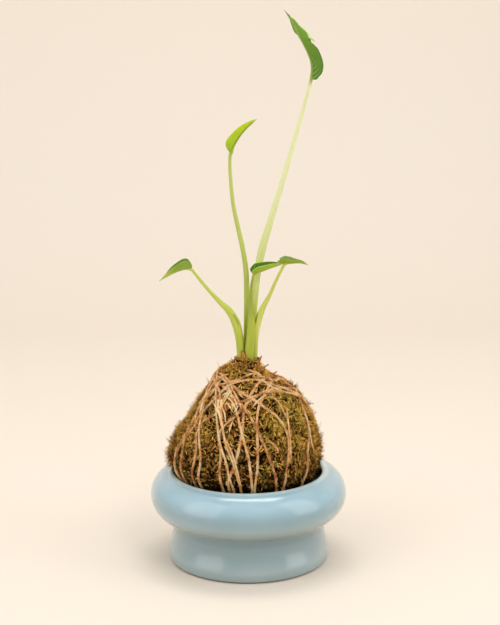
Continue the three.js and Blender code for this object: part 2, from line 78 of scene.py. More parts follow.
def curveThrough(points, closed, count, even=True):
    # centripetal curve through given points, as the solid model draws it
    points = np.asarray(points, float)
    total = len(points)
    pieces = []
    detail = 24
    for i in range(total if closed else total - 1):
        if closed:
            p0, p1, p2, p3 = (points[(i + k) % total] for k in (-1, 0, 1, 2))
        else:
            p1, p2 = points[i], points[i + 1]
            p0 = points[i - 1] if i else 2 * p1 - p2
            p3 = points[i + 2] if i + 2 < total else 2 * p2 - p1
        t1, gap2, gap3 = (max(np.linalg.norm(b - a), 1e-6) ** 0.5 for a, b in ((p0, p1), (p1, p2), (p2, p3)))
        t2 = t1 + gap2
        t3 = t2 + gap3
        t = np.linspace(t1, t2, detail, endpoint=False)[:, None]
        a1 = (t1 - t) / t1 * p0 + t / t1 * p1
        a2 = (t2 - t) / (t2 - t1) * p1 + (t - t1) / (t2 - t1) * p2
        a3 = (t3 - t) / (t3 - t2) * p2 + (t - t2) / (t3 - t2) * p3
        b1 = (t2 - t) / t2 * a1 + t / t2 * a2
        b2 = (t3 - t) / (t3 - t1) * a2 + (t - t1) / (t3 - t1) * a3
        pieces.append((t2 - t) / (t2 - t1) * b1 + (t - t1) / (t2 - t1) * b2)
    path = np.vstack(pieces + [points[:1] if closed else points[-1:]])
    places = placesAlong(path) if even else np.arange(len(path)) / detail
    wanted = np.linspace(0, places[-1], count, endpoint=not closed)
    return np.stack([np.interp(wanted, places, path[:, k]) for k in range(3)], 1)


def between(share, stops):
    # a smooth value along a list of (share, value) stops, or one value all along
    if isinstance(stops, (int, float)):
        return np.full(np.shape(share), float(stops))
    shares, values = (np.array(column) for column in zip(*stops))
    index = np.clip(np.searchsorted(shares, share, side="right") - 1, 0, len(shares) - 2)
    reach = smooth((share - shares[index]) / (shares[index + 1] - shares[index]))
    return values[index] + (values[index + 1] - values[index]) * reach


# Meshes

def newPiece(name, points, faces, materials, slots=None, layers=None, flat=False):
    mesh = bpy.data.meshes.new(name)
    faces = np.asarray(faces, np.int32)
    count, corners = faces.shape
    mesh.vertices.add(len(points))
    mesh.vertices.foreach_set("co", (np.asarray(points) * mm).astype(np.float32).ravel())
    mesh.loops.add(count * corners)
    mesh.loops.foreach_set("vertex_index", faces.ravel())
    mesh.polygons.add(count)
    mesh.polygons.foreach_set("loop_start", np.arange(0, count * corners, corners, dtype=np.int32))
    for material in materials:
        mesh.materials.append(material)
    if slots is not None:
        mesh.polygons.foreach_set("material_index", np.asarray(slots, np.int32))
    mesh.update(calc_edges=True)
    if not flat:
        mesh.shade_smooth()
    for layer, values in (layers or {}).items():
        values = np.asarray(values, np.float32)
        kind, field = ("FLOAT_VECTOR", "vector") if values.ndim == 2 else ("FLOAT", "value")
        mesh.attributes.new(layer, kind, "POINT").data.foreach_set(field, values.ravel())
    piece = bpy.data.objects.new(name, mesh)
    bpy.context.scene.collection.objects.link(piece)
    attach(piece, "root")
    return piece


def gridFaces(rows, columns, wrapRows=False, wrapColumns=False):
    i = np.arange(rows if wrapRows else rows - 1)
    j = np.arange(columns if wrapColumns else columns - 1)
    i, j = (a.ravel() for a in np.meshgrid(i, j, indexing="ij"))
    k, m = (i + 1) % rows, (j + 1) % columns
    return np.stack([i * columns + j, i * columns + m, k * columns + m, k * columns + j], 1)


def closeEnds(piece, rings, sides):
    # triangles from the mesh's last two points, the middles of its ends, to its first and last rings
    body = bmesh.new()
    body.from_mesh(piece.data)
    body.verts.ensure_lookup_table()
    middle, last = rings * sides, (rings - 1) * sides
    for j in range(sides):
        k = (j + 1) % sides
        for corners in ((middle, k, j), (middle + 1, last + j, last + k)):
            body.faces.new([body.verts[i] for i in corners]).smooth = True
    bmesh.ops.recalc_face_normals(body, faces=body.faces)
    body.to_mesh(piece.data)
    body.free()


def tubePoints(middle, first, second, firstReach, secondReach, turn):
    return (
        middle[:, None]
        + first[:, None] * (firstReach * np.cos(turn))[..., None]
        + second[:, None] * (secondReach * np.sin(turn))[..., None]
    )


def gather(parts):
    # joins (points, faces, layers) parts into one
    start = 0
    points, faces, layers = [], [], {}
    for part, shape, values in parts:
        points.append(part)
        faces.append(shape + start)
        start += len(part)
        for key, value in values.items():
            layers.setdefault(key, []).append(value)
    return np.vstack(points), np.vstack(faces), {k: np.concatenate(v) for k, v in layers.items()}


# Materials

def linear(colour):
    parts = [int(colour[i:i + 2], 16) / 255 for i in (1, 3, 5)]
    return tuple(p / 12.92 if p <= 0.04045 else ((p + 0.055) / 1.055) ** 2.4 for p in parts) + (1.0,)


blend = {"data_type": "RGBA"}  # a mix of two colours
multiply = {"data_type": "RGBA", "blend_type": "MULTIPLY"}


def addNode(tree, kind, settings, output=0):
    # adds a node and gives one of its outputs. A setting is a property, a ramp's stops, a value or a link
    node = tree.nodes.new("ShaderNode" + kind)
    for key, value in settings.items():
        if key == "stops":
            elements = node.color_ramp.elements
            while len(elements) < len(value):
                elements.new(1)
            for element, (place, colour) in zip(elements, value):
                element.position = place
                element.color = linear(colour) if isinstance(colour, str) else (colour, colour, colour, 1)
        elif isinstance(value, bpy.types.NodeSocket):
            tree.links.new(value, node.inputs[key])
        elif isinstance(key, str) and hasattr(node, key):
            setattr(node, key, value)
        else:
            node.inputs[key].default_value = linear(value) if isinstance(value, str) else value
    return node.outputs[output]


def newMaterial(name, values):
    material = bpy.data.materials.new(name)
    material.use_nodes = True
    tree = material.node_tree
    shader = tree.nodes["Principled BSDF"]
    for socket, value in {"IOR": 1.45, **values}.items():
        shader.inputs[socket].default_value = linear(value) if isinstance(value, str) else value
    return material, tree, shader


def grainedMaterial(name, values, grain, tones, relief=None):
    # tones over a grain of (size in millimetres, detail), and a relief of (size, detail, depth, strength)
    material, tree, shader = newMaterial(name, values)
    place = addNode(tree, "TexCoord", {}, "Object")
    size, detail = grain
    spread = addNode(tree, "TexNoise", {"Vector": place, "Scale": 1 / (size * mm), "Detail": detail})
    tree.links.new(addNode(tree, "ValToRGB", {"stops": tones, 0: spread}), shader.inputs["Base Color"])
    if relief:
        size, detail, depth, strength = relief
        height = addNode(tree, "TexNoise", {"Vector": place, "Scale": 1 / (size * mm), "Detail": detail})
        bump = addNode(tree, "Bump", {"Strength": strength, "Distance": depth * mm, "Height": height})
        tree.links.new(bump, shader.inputs["Normal"])
    return material


# Camera, floor and lights: as the photograph's view, from a little above

view = {
    "place": (2.5, -1341.4, 521.0),  # millimetres
    "pitch": 13.12,  # degrees down
    "roll": -0.46,
    "lens": 97.9,  # on a 36 mm sensor along the picture's height
}


def makeCamera():
    pitch, roll = math.radians(view["pitch"]), math.radians(view["roll"])
    right = Vector((1, 0, 0))
    rise = Vector((0, math.sin(pitch), math.cos(pitch)))
    across = right * math.cos(roll) + rise * math.sin(roll)
    upward = rise * math.cos(roll) - right * math.sin(roll)
    data = bpy.data.cameras.new("camera")
    data.lens = view["lens"]
    data.sensor_width = 36
    data.clip_end = 20
    camera = bpy.data.objects.new("camera", data)
    turn = Matrix((across, upward, across.cross(upward))).transposed()
    camera.matrix_world = Matrix.Translation(Vector(view["place"]) * mm) @ turn.to_4x4()
    bpy.context.scene.collection.objects.link(camera)
    bpy.context.scene.camera = camera


studio = {
    "paper": "#ECE3D8",  # seamless background paper
    "world": "#FFFBF5",
    "worldStrength": 0.73,
    "front": -2600,  # where the paper ends towards the viewer
    "bendStart": 800,  # how far behind the pot the paper starts to rise
    "bendRadius": 600,
    "width": 6000,
    "height": 2600,
}


def makeStudio():
    # Seamless paper, matt and uncoated: it gives an even warm ground with soft shadows
    material, tree, shader = newMaterial("studioPaper", {
        "Roughness": 0.95, "Specular IOR Level": 0.1, "Base Color": studio["paper"],
    })
    # its back is clear, so that the paper hides nothing from behind
    behind = addNode(tree, "NewGeometry", {}, "Backfacing")
    clear = addNode(tree, "BsdfTransparent", {})
    paper = addNode(tree, "MixShader", {0: behind, 1: shader.outputs["BSDF"], 2: clear})
    tree.links.new(paper, tree.nodes["Material Output"].inputs["Surface"])
    start, radius = studio["bendStart"], studio["bendRadius"]
    rise = np.linspace(0, math.pi / 2, 24)
    sideways = [studio["front"], start - 1] + list(start + radius * np.sin(rise)) + [start + radius]
    upwards = [0, 0] + list(radius * (1 - np.cos(rise))) + [studio["height"]]
    half = studio["width"] / 2
    points = [(x, y, z) for y, z in zip(sideways, upwards) for x in (-half, half)]
    mesh = bpy.data.meshes.new("backdrop")
    faces = [(2 * i, 2 * i + 1, 2 * i + 3, 2 * i + 2) for i in range(len(sideways) - 1)]
    mesh.from_pydata([tuple(c * mm for c in p) for p in points], [], faces)
    mesh.materials.append(material)
    mesh.shade_smooth()
    backdrop = bpy.data.objects.new("backdrop", mesh)
    bpy.context.scene.collection.objects.link(backdrop)

    world = bpy.data.worlds.new("studio")
    world.use_nodes = True
    light = world.node_tree.nodes["Background"]
    light.inputs["Color"].default_value = linear(studio["world"])
    light.inputs["Strength"].default_value = studio["worldStrength"]
    bpy.context.scene.world = world
    bpy.context.scene.view_settings.view_transform = "Standard"


lamps = {
    # place and target in millimetres, size of the panel, power in watts, colour,
    # spread in degrees, and whether the glaze mirrors it
    "overhead": {
        "place": (40, 220, 1500), "target": (0, 0, 100), "size": (900, 420),
        "watts": 5.3, "colour": "#FFFDFA",
    },
    "key": {
        "place": (520, -1050, 1250), "target": (0, 0, 120), "size": (450, 450),
        "watts": 0.7, "colour": "#FFF8EE", "spread": 75, "mirrored": False,
    },
    "softboxLeft": {
        "place": (-1260, -815, 1000), "target": (0, 0, 600), "size": (1300, 2600),
        "watts": 11.1, "colour": "#FFFDFA",
    },
    "softboxRight": {
        "place": (1434, -520, 1000), "target": (0, 0, 600), "size": (1000, 2600),
        "watts": 10.1, "colour": "#FFFDFA",
    },
}


def makeLamps():
    for name, lamp in lamps.items():
        data = bpy.data.lights.new(name, "AREA")
        data.shape = "RECTANGLE"
        data.size, data.size_y = (s * mm for s in lamp["size"])
        data.energy = lamp["watts"]
        data.color = linear(lamp["colour"])[:3]
        data.spread = math.radians(lamp.get("spread", 180))
        light = bpy.data.objects.new(name, data)
        place, target = Vector(lamp["place"]), Vector(lamp["target"])
        light.location = place * mm
        light.visible_glossy = lamp.get("mirrored", True)
        light.rotation_mode = "QUATERNION"
        light.rotation_quaternion = (target - place).to_track_quat("-Z", "Y")
        bpy.context.scene.collection.objects.link(light)


makeCamera()
makeStudio()
makeLamps()
print("camera, backdrop and lamps made")


# Pot

pot = {
    "bulgeRadius": 19.8, "bulgeReach": 61.2, "bulgeHeight": 56, "wall": 4.5, "lipAngle": 84,
    "waistRadius": 62.9, "footRadius": 67, "footRecess": 5, "floorHeight": 11.8,
    "segments": 180,
    # where the colour deepens: glaze pooling with painted shade in the crease under the bulge, glaze pooling
    # at the foot's edge, a painted deep band across the middle of the bulge and painted shade low on the
    # foot. Each is height, half height below and above, least radius, how much
    "poolsAndShade": [
        (32, 9, 5, 61.9, 0.75), (1.5, 1.5, 1.5, 62, 0.12), (56, 7, 7, 69.2, 0.5), (20, 7, 7, 62.9, 0.3),
    ],
    "bareEdge": 1.1,  # height of the unglazed band round the foot
    # the deepest tone serves both glaze pooling and painted shade
    "glaze": "#8FB2C2", "glazeThin": "#9DBDCD", "glazePoolAndShade": "#65828C",
    "glazeEdgeHighlight": "#C4DEE6",  # thinnest on the lip, with a painted highlight there
    "glazeFloorReflection": "#8A9086",  # greyer lower down: a painted reflection of the warm floor
    "clay": "#6B4A30",
}


def arc(centre, radius, start, end, count):
    turn = np.radians(np.linspace(start, end, count))
    return [(centre[0] + radius * math.cos(t), centre[1] + radius * math.sin(t)) for t in turn]


def bend(start, pull, end, count, pull2=None):
    t = np.linspace(0, 1, count)[1:, None]
    start, pull, end = (np.array(p, float) for p in (start, pull, end))
    if pull2 is None:
        path = (1 - t) ** 2 * start + 2 * t * (1 - t) * pull + t * t * end
    else:
        pull2 = np.array(pull2, float)
        path = (1 - t) ** 3 * start + 3 * t * (1 - t) ** 2 * pull + 3 * t * t * (1 - t) * pull2 + t ** 3 * end
    return [tuple(p) for p in path]


def potProfile():
    # half a section: from the middle of the foot out and up, over the lip and down to the middle of the floor
    foot, waist, wall = pot["footRadius"], pot["waistRadius"], pot["wall"]
    bulge, reach, height = pot["bulgeRadius"], pot["bulgeReach"], pot["bulgeHeight"]
    lip = wall / 2
    low = (0, pot["footRecess"])
    path = [low, (foot - 13.5, pot["footRecess"])]
    path += bend(path[-1], (foot - 12.6, pot["footRecess"]), (foot - 10.5, 0.8), 5)
    path += bend(path[-1], (foot - 10.2, 0), (foot - 9.5, 0), 4)
    path += [(foot - 4.4, 0)]
    path += bend(path[-1], (foot - 0.8, 0.3), (foot, 7), 14)
    path += bend(path[-1], (foot + 0.3, 12), (waist, 28), 14, pull2=(waist + 0.1, 18))
    under = math.radians(-74)
    neck = (reach + bulge * math.cos(under), height + bulge * math.sin(under))
    path += bend(path[-1], (waist, height - bulge - 0.8), neck, 12)
    path += arc((reach, height), bulge, -74, pot["lipAngle"], 56)[1:]
    end = math.radians(pot["lipAngle"])
    middle = bulge - lip
    centre = (reach + middle * math.cos(end), height + middle * math.sin(end))
    path += arc(centre, lip, pot["lipAngle"], pot["lipAngle"] + 180, 12)[1:]
    path += arc((reach, height), bulge - wall, pot["lipAngle"], -88, 28)[1:]
    path += bend(path[-1], (waist - wall, height - bulge + wall), (waist - wall, 34), 5)
    path += [(waist - wall, 24)]
    path += bend(path[-1], (foot - wall - 1.5, pot["floorHeight"] + 1), (foot - 12, pot["floorHeight"]), 8)
    path += [(0, pot["floorHeight"])]
    return np.array(path)


def glazeMaterial():
    # Glazed stoneware, dipped: a glassy coat, paler where it ran thin and deeper where glaze gathered;
    # painted into it are shade under and across the bulge, the floor's reflection low down and a highlight on
    # the lip
    material, tree, shader = newMaterial("dippedCeladonGlaze", {
        "Roughness": 0.2, "IOR": 1.6, "Coat Weight": 0.8, "Coat Roughness": 0.16,
    })
    place = addNode(tree, "TexCoord", {}, "Object")
    cloud = addNode(tree, "TexNoise", {"Vector": place, "Scale": 1 / (38 * mm), "Detail": 2})
    colour = addNode(tree, "ValToRGB", {"stops": [(0.3, pot["glaze"]), (0.7, pot["glazeThin"])], 0: cloud})
    # the floor's painted reflection, glaze pooling with painted shade, and thin glaze on the lip with a
    # painted highlight
    for layer, tone in (("thin", "glazeFloorReflection"), ("pool", "glazePoolAndShade"), ("edge", "glazeEdgeHighlight")):
        share = addNode(tree, "Attribute", {"attribute_name": layer}, "Fac")
        colour = addNode(tree, "Mix", {**blend, 0: share, 6: colour, 7: pot[tone]}, 2)
    # iron specks of the clay, drawn coarser than they are, about 1.6 mm apart, so that they show
    grain = addNode(tree, "TexNoise", {"Vector": place, "Scale": 1 / (1.6 * mm), "Detail": 1})
    specks = addNode(tree, "ValToRGB", {"stops": [(0.74, 0), (0.8, 1)], 0: grain})
    tinted = addNode(tree, "Mix", {**blend, 0: 0.12, 6: colour, 7: "#8FA7AE"}, 2)
    colour = addNode(tree, "Mix", {**blend, 0: specks, 6: colour, 7: tinted}, 2)
    tree.links.new(colour, shader.inputs["Base Color"])
    ripple = addNode(tree, "TexNoise", {"Vector": place, "Scale": 1 / (22 * mm), "Detail": 1})
    bump = addNode(tree, "Bump", {"Strength": 0.35, "Distance": 0.25 * mm, "Height": ripple})
    tree.links.new(bump, shader.inputs["Normal"])
    return material


def makePot():
    profile = potProfile()
    segments = pot["segments"]
    turn = aroundRing(segments)
    inner = profile[1:-1]
    ring = np.stack([np.sin(turn), -np.cos(turn)], 1)
    points = np.zeros((len(inner), segments, 3))
    points[:, :, :2] = inner[:, None, :1] * ring[None]
    points[:, :, 2] = inner[:, None, 1]
    ends = np.array([[0, 0, profile[0, 1]], [0, 0, profile[-1, 1]]])
    band = (inner[:-1, 1] < pot["bareEdge"]) & (inner[1:, 1] < pot["bareEdge"] + 1)
    recess = (inner[1:, 0] < pot["footRadius"] - 9) & (inner[1:, 1] < 6)
    radius, height = (np.repeat(inner[:, k], segments) for k in (0, 1))
    # glaze pooling in the crease and at the foot, with painted shade under the bulge, across its middle and
    # low on the foot
    pooledAndShaded = 0
    for middle, below, above, least, amount in pot["poolsAndShade"]:
        off = (height - middle) / np.where(height < middle, below, above)
        pooledAndShaded = pooledAndShaded + amount * np.exp(-off ** 2) * (radius > least)
    layers = {
        "pool": np.clip(pooledAndShaded, 0, 1),
        # painted reflection of the warm floor: greyer lower down
        "thin": (0.5 + 0.3 * np.exp(-((height - 42) / 8) ** 2)) * smooth((61 - height) / 20),
        # paler on the lip: thin glaze, and a painted highlight
        "edge": smooth((68.5 - radius) / 4) * smooth((height - 70) / 2.5),
    }
    layers = {layer: np.append(values, [0, 0]) for layer, values in layers.items()}
    # Stoneware left unglazed and wiped before firing: rough toasted brown, with a grit of about 0.6 mm
    clay = grainedMaterial(
        "bareStoneware", {"Roughness": 0.85},
        (2.5, 3), [(0.3, "#54371F"), (0.7, pot["clay"])], (0.6, 3, 0.1, 0.5),
    )
    faces = gridFaces(len(inner), segments, wrapColumns=True)
    piece = newPiece(
        "glazed_pot", np.vstack([points.reshape(-1, 3), ends]), faces, [glazeMaterial(), clay],
        slots=np.repeat(band | recess, segments), layers=layers,
    )
    closeEnds(piece, len(inner), segments)
    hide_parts("pot")


makePot()
print("pot made")


# Ball surface, as in the solid model

ball = {
    "radius": 62.2, "widest": 90, "bottom": 15.2, "top": 170.5, "crownRise": 86,
    "mouthInset": 7, "mouthDepth": 22, "lean": 2.3,
    "collarRadius": 11, "collarSlope": 0.9, "collarDepth": 9,
    "lowerRoundness": 2.4, "crownRoundness": 1.9, "crownFullness": 0.909,
    "lumps": [
        # degrees round from the front, half width, height, half height, how far out
        (95, 60, 160, 10, -9), (-90, 45, 161, 6, 2.5), (-90, 45, 123, 18, -5.6),
        (95, 50, 78, 8, 1.2), (-95, 50, 78, 8, 2.2),
    ],
}


def surfaceRadius(height):
    height = np.asarray(height, float)
    drop = np.clip((ball["widest"] - height) / (ball["widest"] - ball["bottom"]), 0, 1)
    inset = ball["mouthInset"] * smooth((ball["widest"] - height) / ball["mouthDepth"])
    lower = (ball["radius"] - inset) * (1 - drop ** ball["lowerRoundness"]) ** (1 / ball["lowerRoundness"])
    rise = np.clip((height - ball["widest"]) / ball["crownRise"], 0, 1)
    fall = np.minimum(ball["top"] - height, ball["collarDepth"])
    collar = ball["collarRadius"] + fall * ball["collarSlope"]
    crown = ball["radius"] * (1 - rise ** ball["crownRoundness"]) ** ball["crownFullness"]
    return np.where(height < ball["widest"], lower, np.maximum(crown, collar))


def surfaceLean(height):
    height = np.asarray(height, float)
    wave = np.clip((height - 124) / 72, -1, 1)
    fade = smooth((174 - height) / 10) * smooth((height - 60) / 20)
    return ball["lean"] * np.sin(math.pi * wave) * fade


def spotsOn(degrees, height, spots):
    # soft spots on the ball: degrees round from the front, half width, height, half height, how much
    total = 0
    for turn, wide, middle, tall, amount in spots:
        off = (degrees - turn + 180) % 360 - 180
        total = total + amount * np.exp(-(off / wide) ** 2 - ((height - middle) / tall) ** 2)
    return total


def crownShift(points):
    # the crown's lumps, off the plain form: a hollow shoulder to the right and a fuller one to the left
    return spotsOn(np.degrees(np.arctan2(points[..., 0], -points[..., 1])), points[..., 2], ball["lumps"])


def surfacePoint(angle, height):
    radius = surfaceRadius(height)
    x = surfaceLean(height) + radius * np.sin(angle)
    return np.stack([x, -radius * np.cos(angle), np.broadcast_to(height, np.shape(x))], -1)


def surfaceNormal(points):
    angle = np.arctan2(points[..., 0] - surfaceLean(points[..., 2]), -points[..., 1])
    height = np.clip(points[..., 2], ball["bottom"] + 0.6, ball["top"] - 2)
    rise = surfaceRadius(height + 0.5) - surfaceRadius(height - 0.5)
    return unit(np.stack([np.sin(angle), -np.cos(angle), -rise], -1))


def ontoSurface(points):
    middle = np.array([0, 0, ball["widest"]])
    ray = unit(points - middle)
    low, high = np.zeros(len(points)), np.full(len(points), 110.0)
    for _ in range(30):
        length = (low + high) / 2
        probe = middle + ray * length[:, None]
        across = np.hypot(probe[:, 0] - surfaceLean(probe[:, 2]), probe[:, 1])
        height = probe[:, 2]
        inside = (height > ball["bottom"]) & (height < ball["top"]) & (across < surfaceRadius(height))
        low, high = np.where(inside, length, low), np.where(inside, high, length)
    return middle + ray * low[:, None]


# Twine

twine = {
    "radius": 1.0,
    "pitch": 9.5,  # length of one twist of its three plies
    "step": 1.1,  # between two rings
    "sides": 9,
    "seat": -0.5,  # from the ball's outline to the twine's middle
    "highest": 1.7,  # how far one run may be lifted over those under it
    "fineSize": 0.88,  # of the finer turns and of the short runs, as a share of the radius
    "endSize": 0.8,
    "endSink": 2.6,  # how deep the ends of a short run go into the moss
    "frayRadius": 0.74, "frayLift": 0.8, "fraySides": 6, "frayStep": 0.9,
    "fibres": 4200,
    "fibreLength": (1.6, 4.2),  # its first 0.55 is drawn
    "fibreWidth": (0.07, 0.13),  # half widths, a few times a real fibre's, so that it shows
    "seed": 100, "fibreSeed": 5,
    "pale": "#FFE2AE", "tan": "#F7BC7C", "dark": "#B47240",
}

# Closed turns of [degrees round from the front, height]: those of the solid model, then finer ones
twineTurns = [
    [
        [-8, 30], [-13, 83], [-8, 98], [-5, 121], [-5, 140],
        [13, 156], [70, 160], [130, 135], [155, 85], [172, 30],
    ],
    [
        [-16, 30], [-19, 88], [-20, 107], [-25, 123], [-14, 134], [-3, 143],
        [25, 151], [75, 148], [122, 118], [145, 70], [160, 25],
    ],
    [
        [28, 40], [25, 77], [15, 111], [8, 125], [-2, 137],
        [-22, 147], [-70, 153], [-120, 132], [-150, 85], [-160, 30],
    ],
    [[6, 35], [5, 77], [2, 104], [-4, 120], [-14, 138], [-50, 156], [-110, 146], [-145, 105], [-170, 40]],
    [[8, 40], [7, 78], [9, 99], [8, 130], [10, 140], [30, 153], [90, 157], [138, 128], [165, 80], [178, 30]],
    [
        [33, 40], [32, 76], [32, 91], [35, 105], [36, 118], [30, 131],
        [12, 142], [-20, 152], [-75, 158], [-125, 138], [-150, 60],
    ],
    [
        [52, 40], [54, 80], [55, 100], [62, 115], [74, 138],
        [110, 155], [165, 156], [-160, 125], [-140, 80], [-120, 30],
    ],
    [
        [-46, 40], [-45, 79], [-42, 104], [-50, 120], [-48, 128], [-34, 135],
        [-5, 145], [35, 150], [80, 138], [110, 100], [120, 45],
    ],
    [
        [-38, 35], [-39, 77], [-36, 100], [-46, 118], [-62, 138],
        [-95, 155], [-150, 157], [160, 135], [145, 90], [130, 35],
    ],
    [
        [-60, 40], [-68, 85], [-59, 124], [-45, 146], [-27, 156], [5, 159],
        [39, 156], [65, 148], [92, 118], [105, 75], [100, 35],
    ],
]
fineTurns = [
    [
        [-64, 40], [-66, 90], [-66, 125], [-62, 148], [-27, 157], [9, 163],
        [30, 161], [75, 157], [130, 150], [170, 110], [-175, 40],
    ],
    [
        [-55, 40], [-57, 84], [-58, 100], [-66, 120], [-72, 140], [-105, 157],
        [-160, 163], [150, 158], [125, 140], [120, 110], [125, 40],
    ],
    [
        [-10, 40], [-10, 78], [-15, 101], [-20, 111], [-30, 128], [-50, 147],
        [-95, 158], [-150, 150], [175, 110], [165, 40],
    ],
    [
        [-3, 40], [-4, 77], [-8, 97], [-18, 116], [-30, 136], [-44, 148],
        [-85, 154], [-140, 154], [170, 140], [150, 90], [150, 35],
    ],
    [
        [-120, 45], [-118, 90], [-115, 130], [-140, 155], [150, 158],
        [122, 135], [125, 95], [120, 45], [170, 28],
    ],
]
# Short runs that come out of the moss and go back into it
twineEnds = [
    [[-14, 166], [7, 164], [26, 162], [30, 160]],
    [[-18, 152], [-12, 148], [-5, 146]],
    [[17, 118], [20, 115], [24, 111], [27, 104]],
    [[-64, 143], [-62, 138], [-55, 131]],
    [[-34, 156], [-28, 152], [-19, 148], [-10, 141], [-7, 137]],
    [[2, 140], [14, 146], [26, 149]],
    [[66, 96], [62, 108], [63, 120], [68, 130]],
    [[45, 140], [42, 134], [40, 128], [38, 122], [37, 114], [36, 105], [36, 96]],
    [[22, 148], [34, 144], [38, 134], [40, 129]],
    [[24, 157], [41, 152], [52, 148], [65, 144], [78, 138]],
    [[14, 160], [28, 157], [40, 152], [50, 146]],
    [[-80, 134], [-68, 141], [-69, 150], [-62, 156], [-52, 161]],
    [[-66, 141], [-58, 145], [-56, 151], [-62, 157]],
    [[-84, 150], [-76, 148], [-66, 141]],
    [[-18, 118], [-11, 108], [-6, 95], [-3, 78]],
]
# A frayed end, teased out in pale thin strands
twineFray = [
    [[-22, 125], [-26, 130], [-30, 134], [-36, 139], [-42, 144]],
    [[-24, 126], [-28, 131], [-32, 135], [-37, 140], [-40, 145]],
    [[-28, 133], [-34, 136], [-40, 139], [-46, 141]],
    [[-22, 130], [-25, 135], [-30, 139], [-36, 144], [-36, 146]],
    [[-31, 136], [-32, 140], [-31, 144], [-28, 148], [-26, 150]],
    [[-33, 137], [-34, 142], [-33, 146], [-29, 150]],
    [[-28, 143], [-24, 141], [-20, 139], [-18, 137]],
    [[-28, 145], [-22, 144], [-16, 140], [-14, 138]],
    [[-20, 141], [-26, 142], [-27, 140], [-24, 137]],
    [[-12, 141], [-14, 138], [-16, 136]],
    [[-28, 147], [-22, 146], [-17, 144], [-13, 140]],
    [[-29, 146], [-24, 145], [-20, 142], [-17, 138]],
    [[-36, 146], [-34, 148], [-27, 148]],
    [[-15, 131], [-16, 127], [-16, 123]],
    [[-64, 140], [-60, 136], [-57, 132]],
    [[40, 133], [39, 128], [38, 121]],
]


def routeOf(turn, closed, step):
    turn = np.array(turn, float)
    coarse = surfacePoint(np.radians(turn[:, 0]), turn[:, 1])
    length = np.linalg.norm(np.diff(coarse, axis=0), axis=1).sum() * (1.25 if closed else 1.02)
    return ontoSurface(curveThrough(coarse, closed, max(int(length / step), 6)))


def settle(route, placed, radius):
    # lifts a run over those that already lie under it
    lift = 0.3 * np.sin(np.arange(len(route)) * 0.11 + len(placed)) * (len(placed) > 0)
    for other, heights, size in placed:
        near = np.linalg.norm(route[:, None] - other[None], axis=2)
        index = near.argmin(1)
        share = near[np.arange(len(route)), index] / (2.1 * radius)
        over = heights[index] * 0.7 + (size + radius) * 0.62 * np.sqrt(np.clip(1 - share ** 2, 0, 1))
        lift = np.maximum(lift, np.where(share < 1, over, 0))
    reach = 5
    window = np.hanning(2 * reach + 3)[1:-1]
    window /= window.sum()
    spread = np.max([np.roll(lift, k) * (1 - abs(k) / (reach + 2)) for k in range(-reach, reach + 1)], axis=0)
    padded = np.concatenate([spread[-reach:], spread, spread[:reach]])
    return np.minimum(np.convolve(padded, window, "valid"), twine["highest"])


def fromEnds(path):
    return np.minimum(np.arange(len(path)), np.arange(len(path))[::-1])


def cordOf(route, lift, radius, seed, shade, closed=False, sink=0, sides=twine["sides"], depth=1):
    # one cord of three plies along a route, as (points, faces, layers)
    draw = np.random.default_rng(seed)
    out = surfaceNormal(route)
    height = twine["seat"] + lift + crownShift(route) - sink
    middle = route + out * height[:, None]
    along = unit(np.roll(middle, -1, 0) - np.roll(middle, 1, 0)) if closed else waysAlong(middle)
    out = unit(squareTo(out, along))
    length = placesAlong(middle)
    wander = np.convolve(draw.normal(0, 1, len(route) + 8), np.ones(9) / 9, "valid")
    thick = radius * (1 + 0.16 * wander)
    if not closed:
        thick = thick * (0.35 + 0.65 * smooth(fromEnds(route) / 4))
    turns = max(round(length[-1] / twine["pitch"]), 1)
    twist = length / length[-1] * turns * 2 * math.pi + draw.uniform(0, 6)
    turn = aroundRing(sides)
    lobes = 0.7 + 0.4 * np.abs(np.cos(1.5 * (turn[None] + twist[:, None])))
    reach = thick[:, None] * lobes
    points = tubePoints(middle, out, np.cross(along, out), reach, reach, turn)
    groove = 1 - (lobes - 0.7) / 0.4
    layers = {"groove": groove.ravel() * depth, "shade": np.full(groove.size, shade)}
    return points.reshape(-1, 3), gridFaces(len(route), sides, closed, True), layers


def twineMaterial():
    # Jute, spun and twisted: dull hairy straw brown, with painted shade in the grooves between its plies
    material, tree, shader = newMaterial("spunJute", {
        "Roughness": 0.92, "Specular IOR Level": 0.2, "Sheen Weight": 0.03, "Sheen Roughness": 0.6,
    })
    place = addNode(tree, "TexCoord", {}, "Object")
    groove, shade = (
        addNode(tree, "Attribute", {"attribute_name": layer}, "Fac") for layer in ("groove", "shade")
    )
    patch = addNode(tree, "TexNoise", {"Vector": place, "Scale": 1 / (7 * mm), "Detail": 2})
    tone = addNode(tree, "Math", {"operation": "ADD", 0: patch, 1: shade})
    tones = [(0.34, twine["dark"]), (0.52, twine["tan"]), (0.74, twine["pale"])]
    colour = addNode(tree, "ValToRGB", {"stops": tones, 0: tone})
    # its fibres are far finer and would not show: drawn as streaks of 1.5 mm over a relief of 0.5 mm
    streak = addNode(tree, "TexNoise", {"Vector": place, "Scale": 1 / (1.5 * mm), "Detail": 2})
    fibre = addNode(tree, "ValToRGB", {"stops": [(0.35, 0.66), (0.6, 1)], 0: streak})
    colour = addNode(tree, "Mix", {**multiply, 0: 0.75, 6: colour, 7: fibre}, 2)
    # painted shade for the grooves between the plies
    deep = addNode(tree, "Mix", {**blend, 0: 0.75, 6: colour, 7: "#5E3614"}, 2)
    colour = addNode(tree, "Mix", {**blend, 0: groove, 6: colour, 7: deep}, 2)
    tree.links.new(colour, shader.inputs["Base Color"])
    hairs = addNode(tree, "TexNoise", {"Vector": place, "Scale": 1 / (0.5 * mm), "Detail": 2})
    bump = addNode(tree, "Bump", {"Strength": 0.8, "Distance": 0.25 * mm, "Height": hairs})
    tree.links.new(bump, shader.inputs["Normal"])
    return material


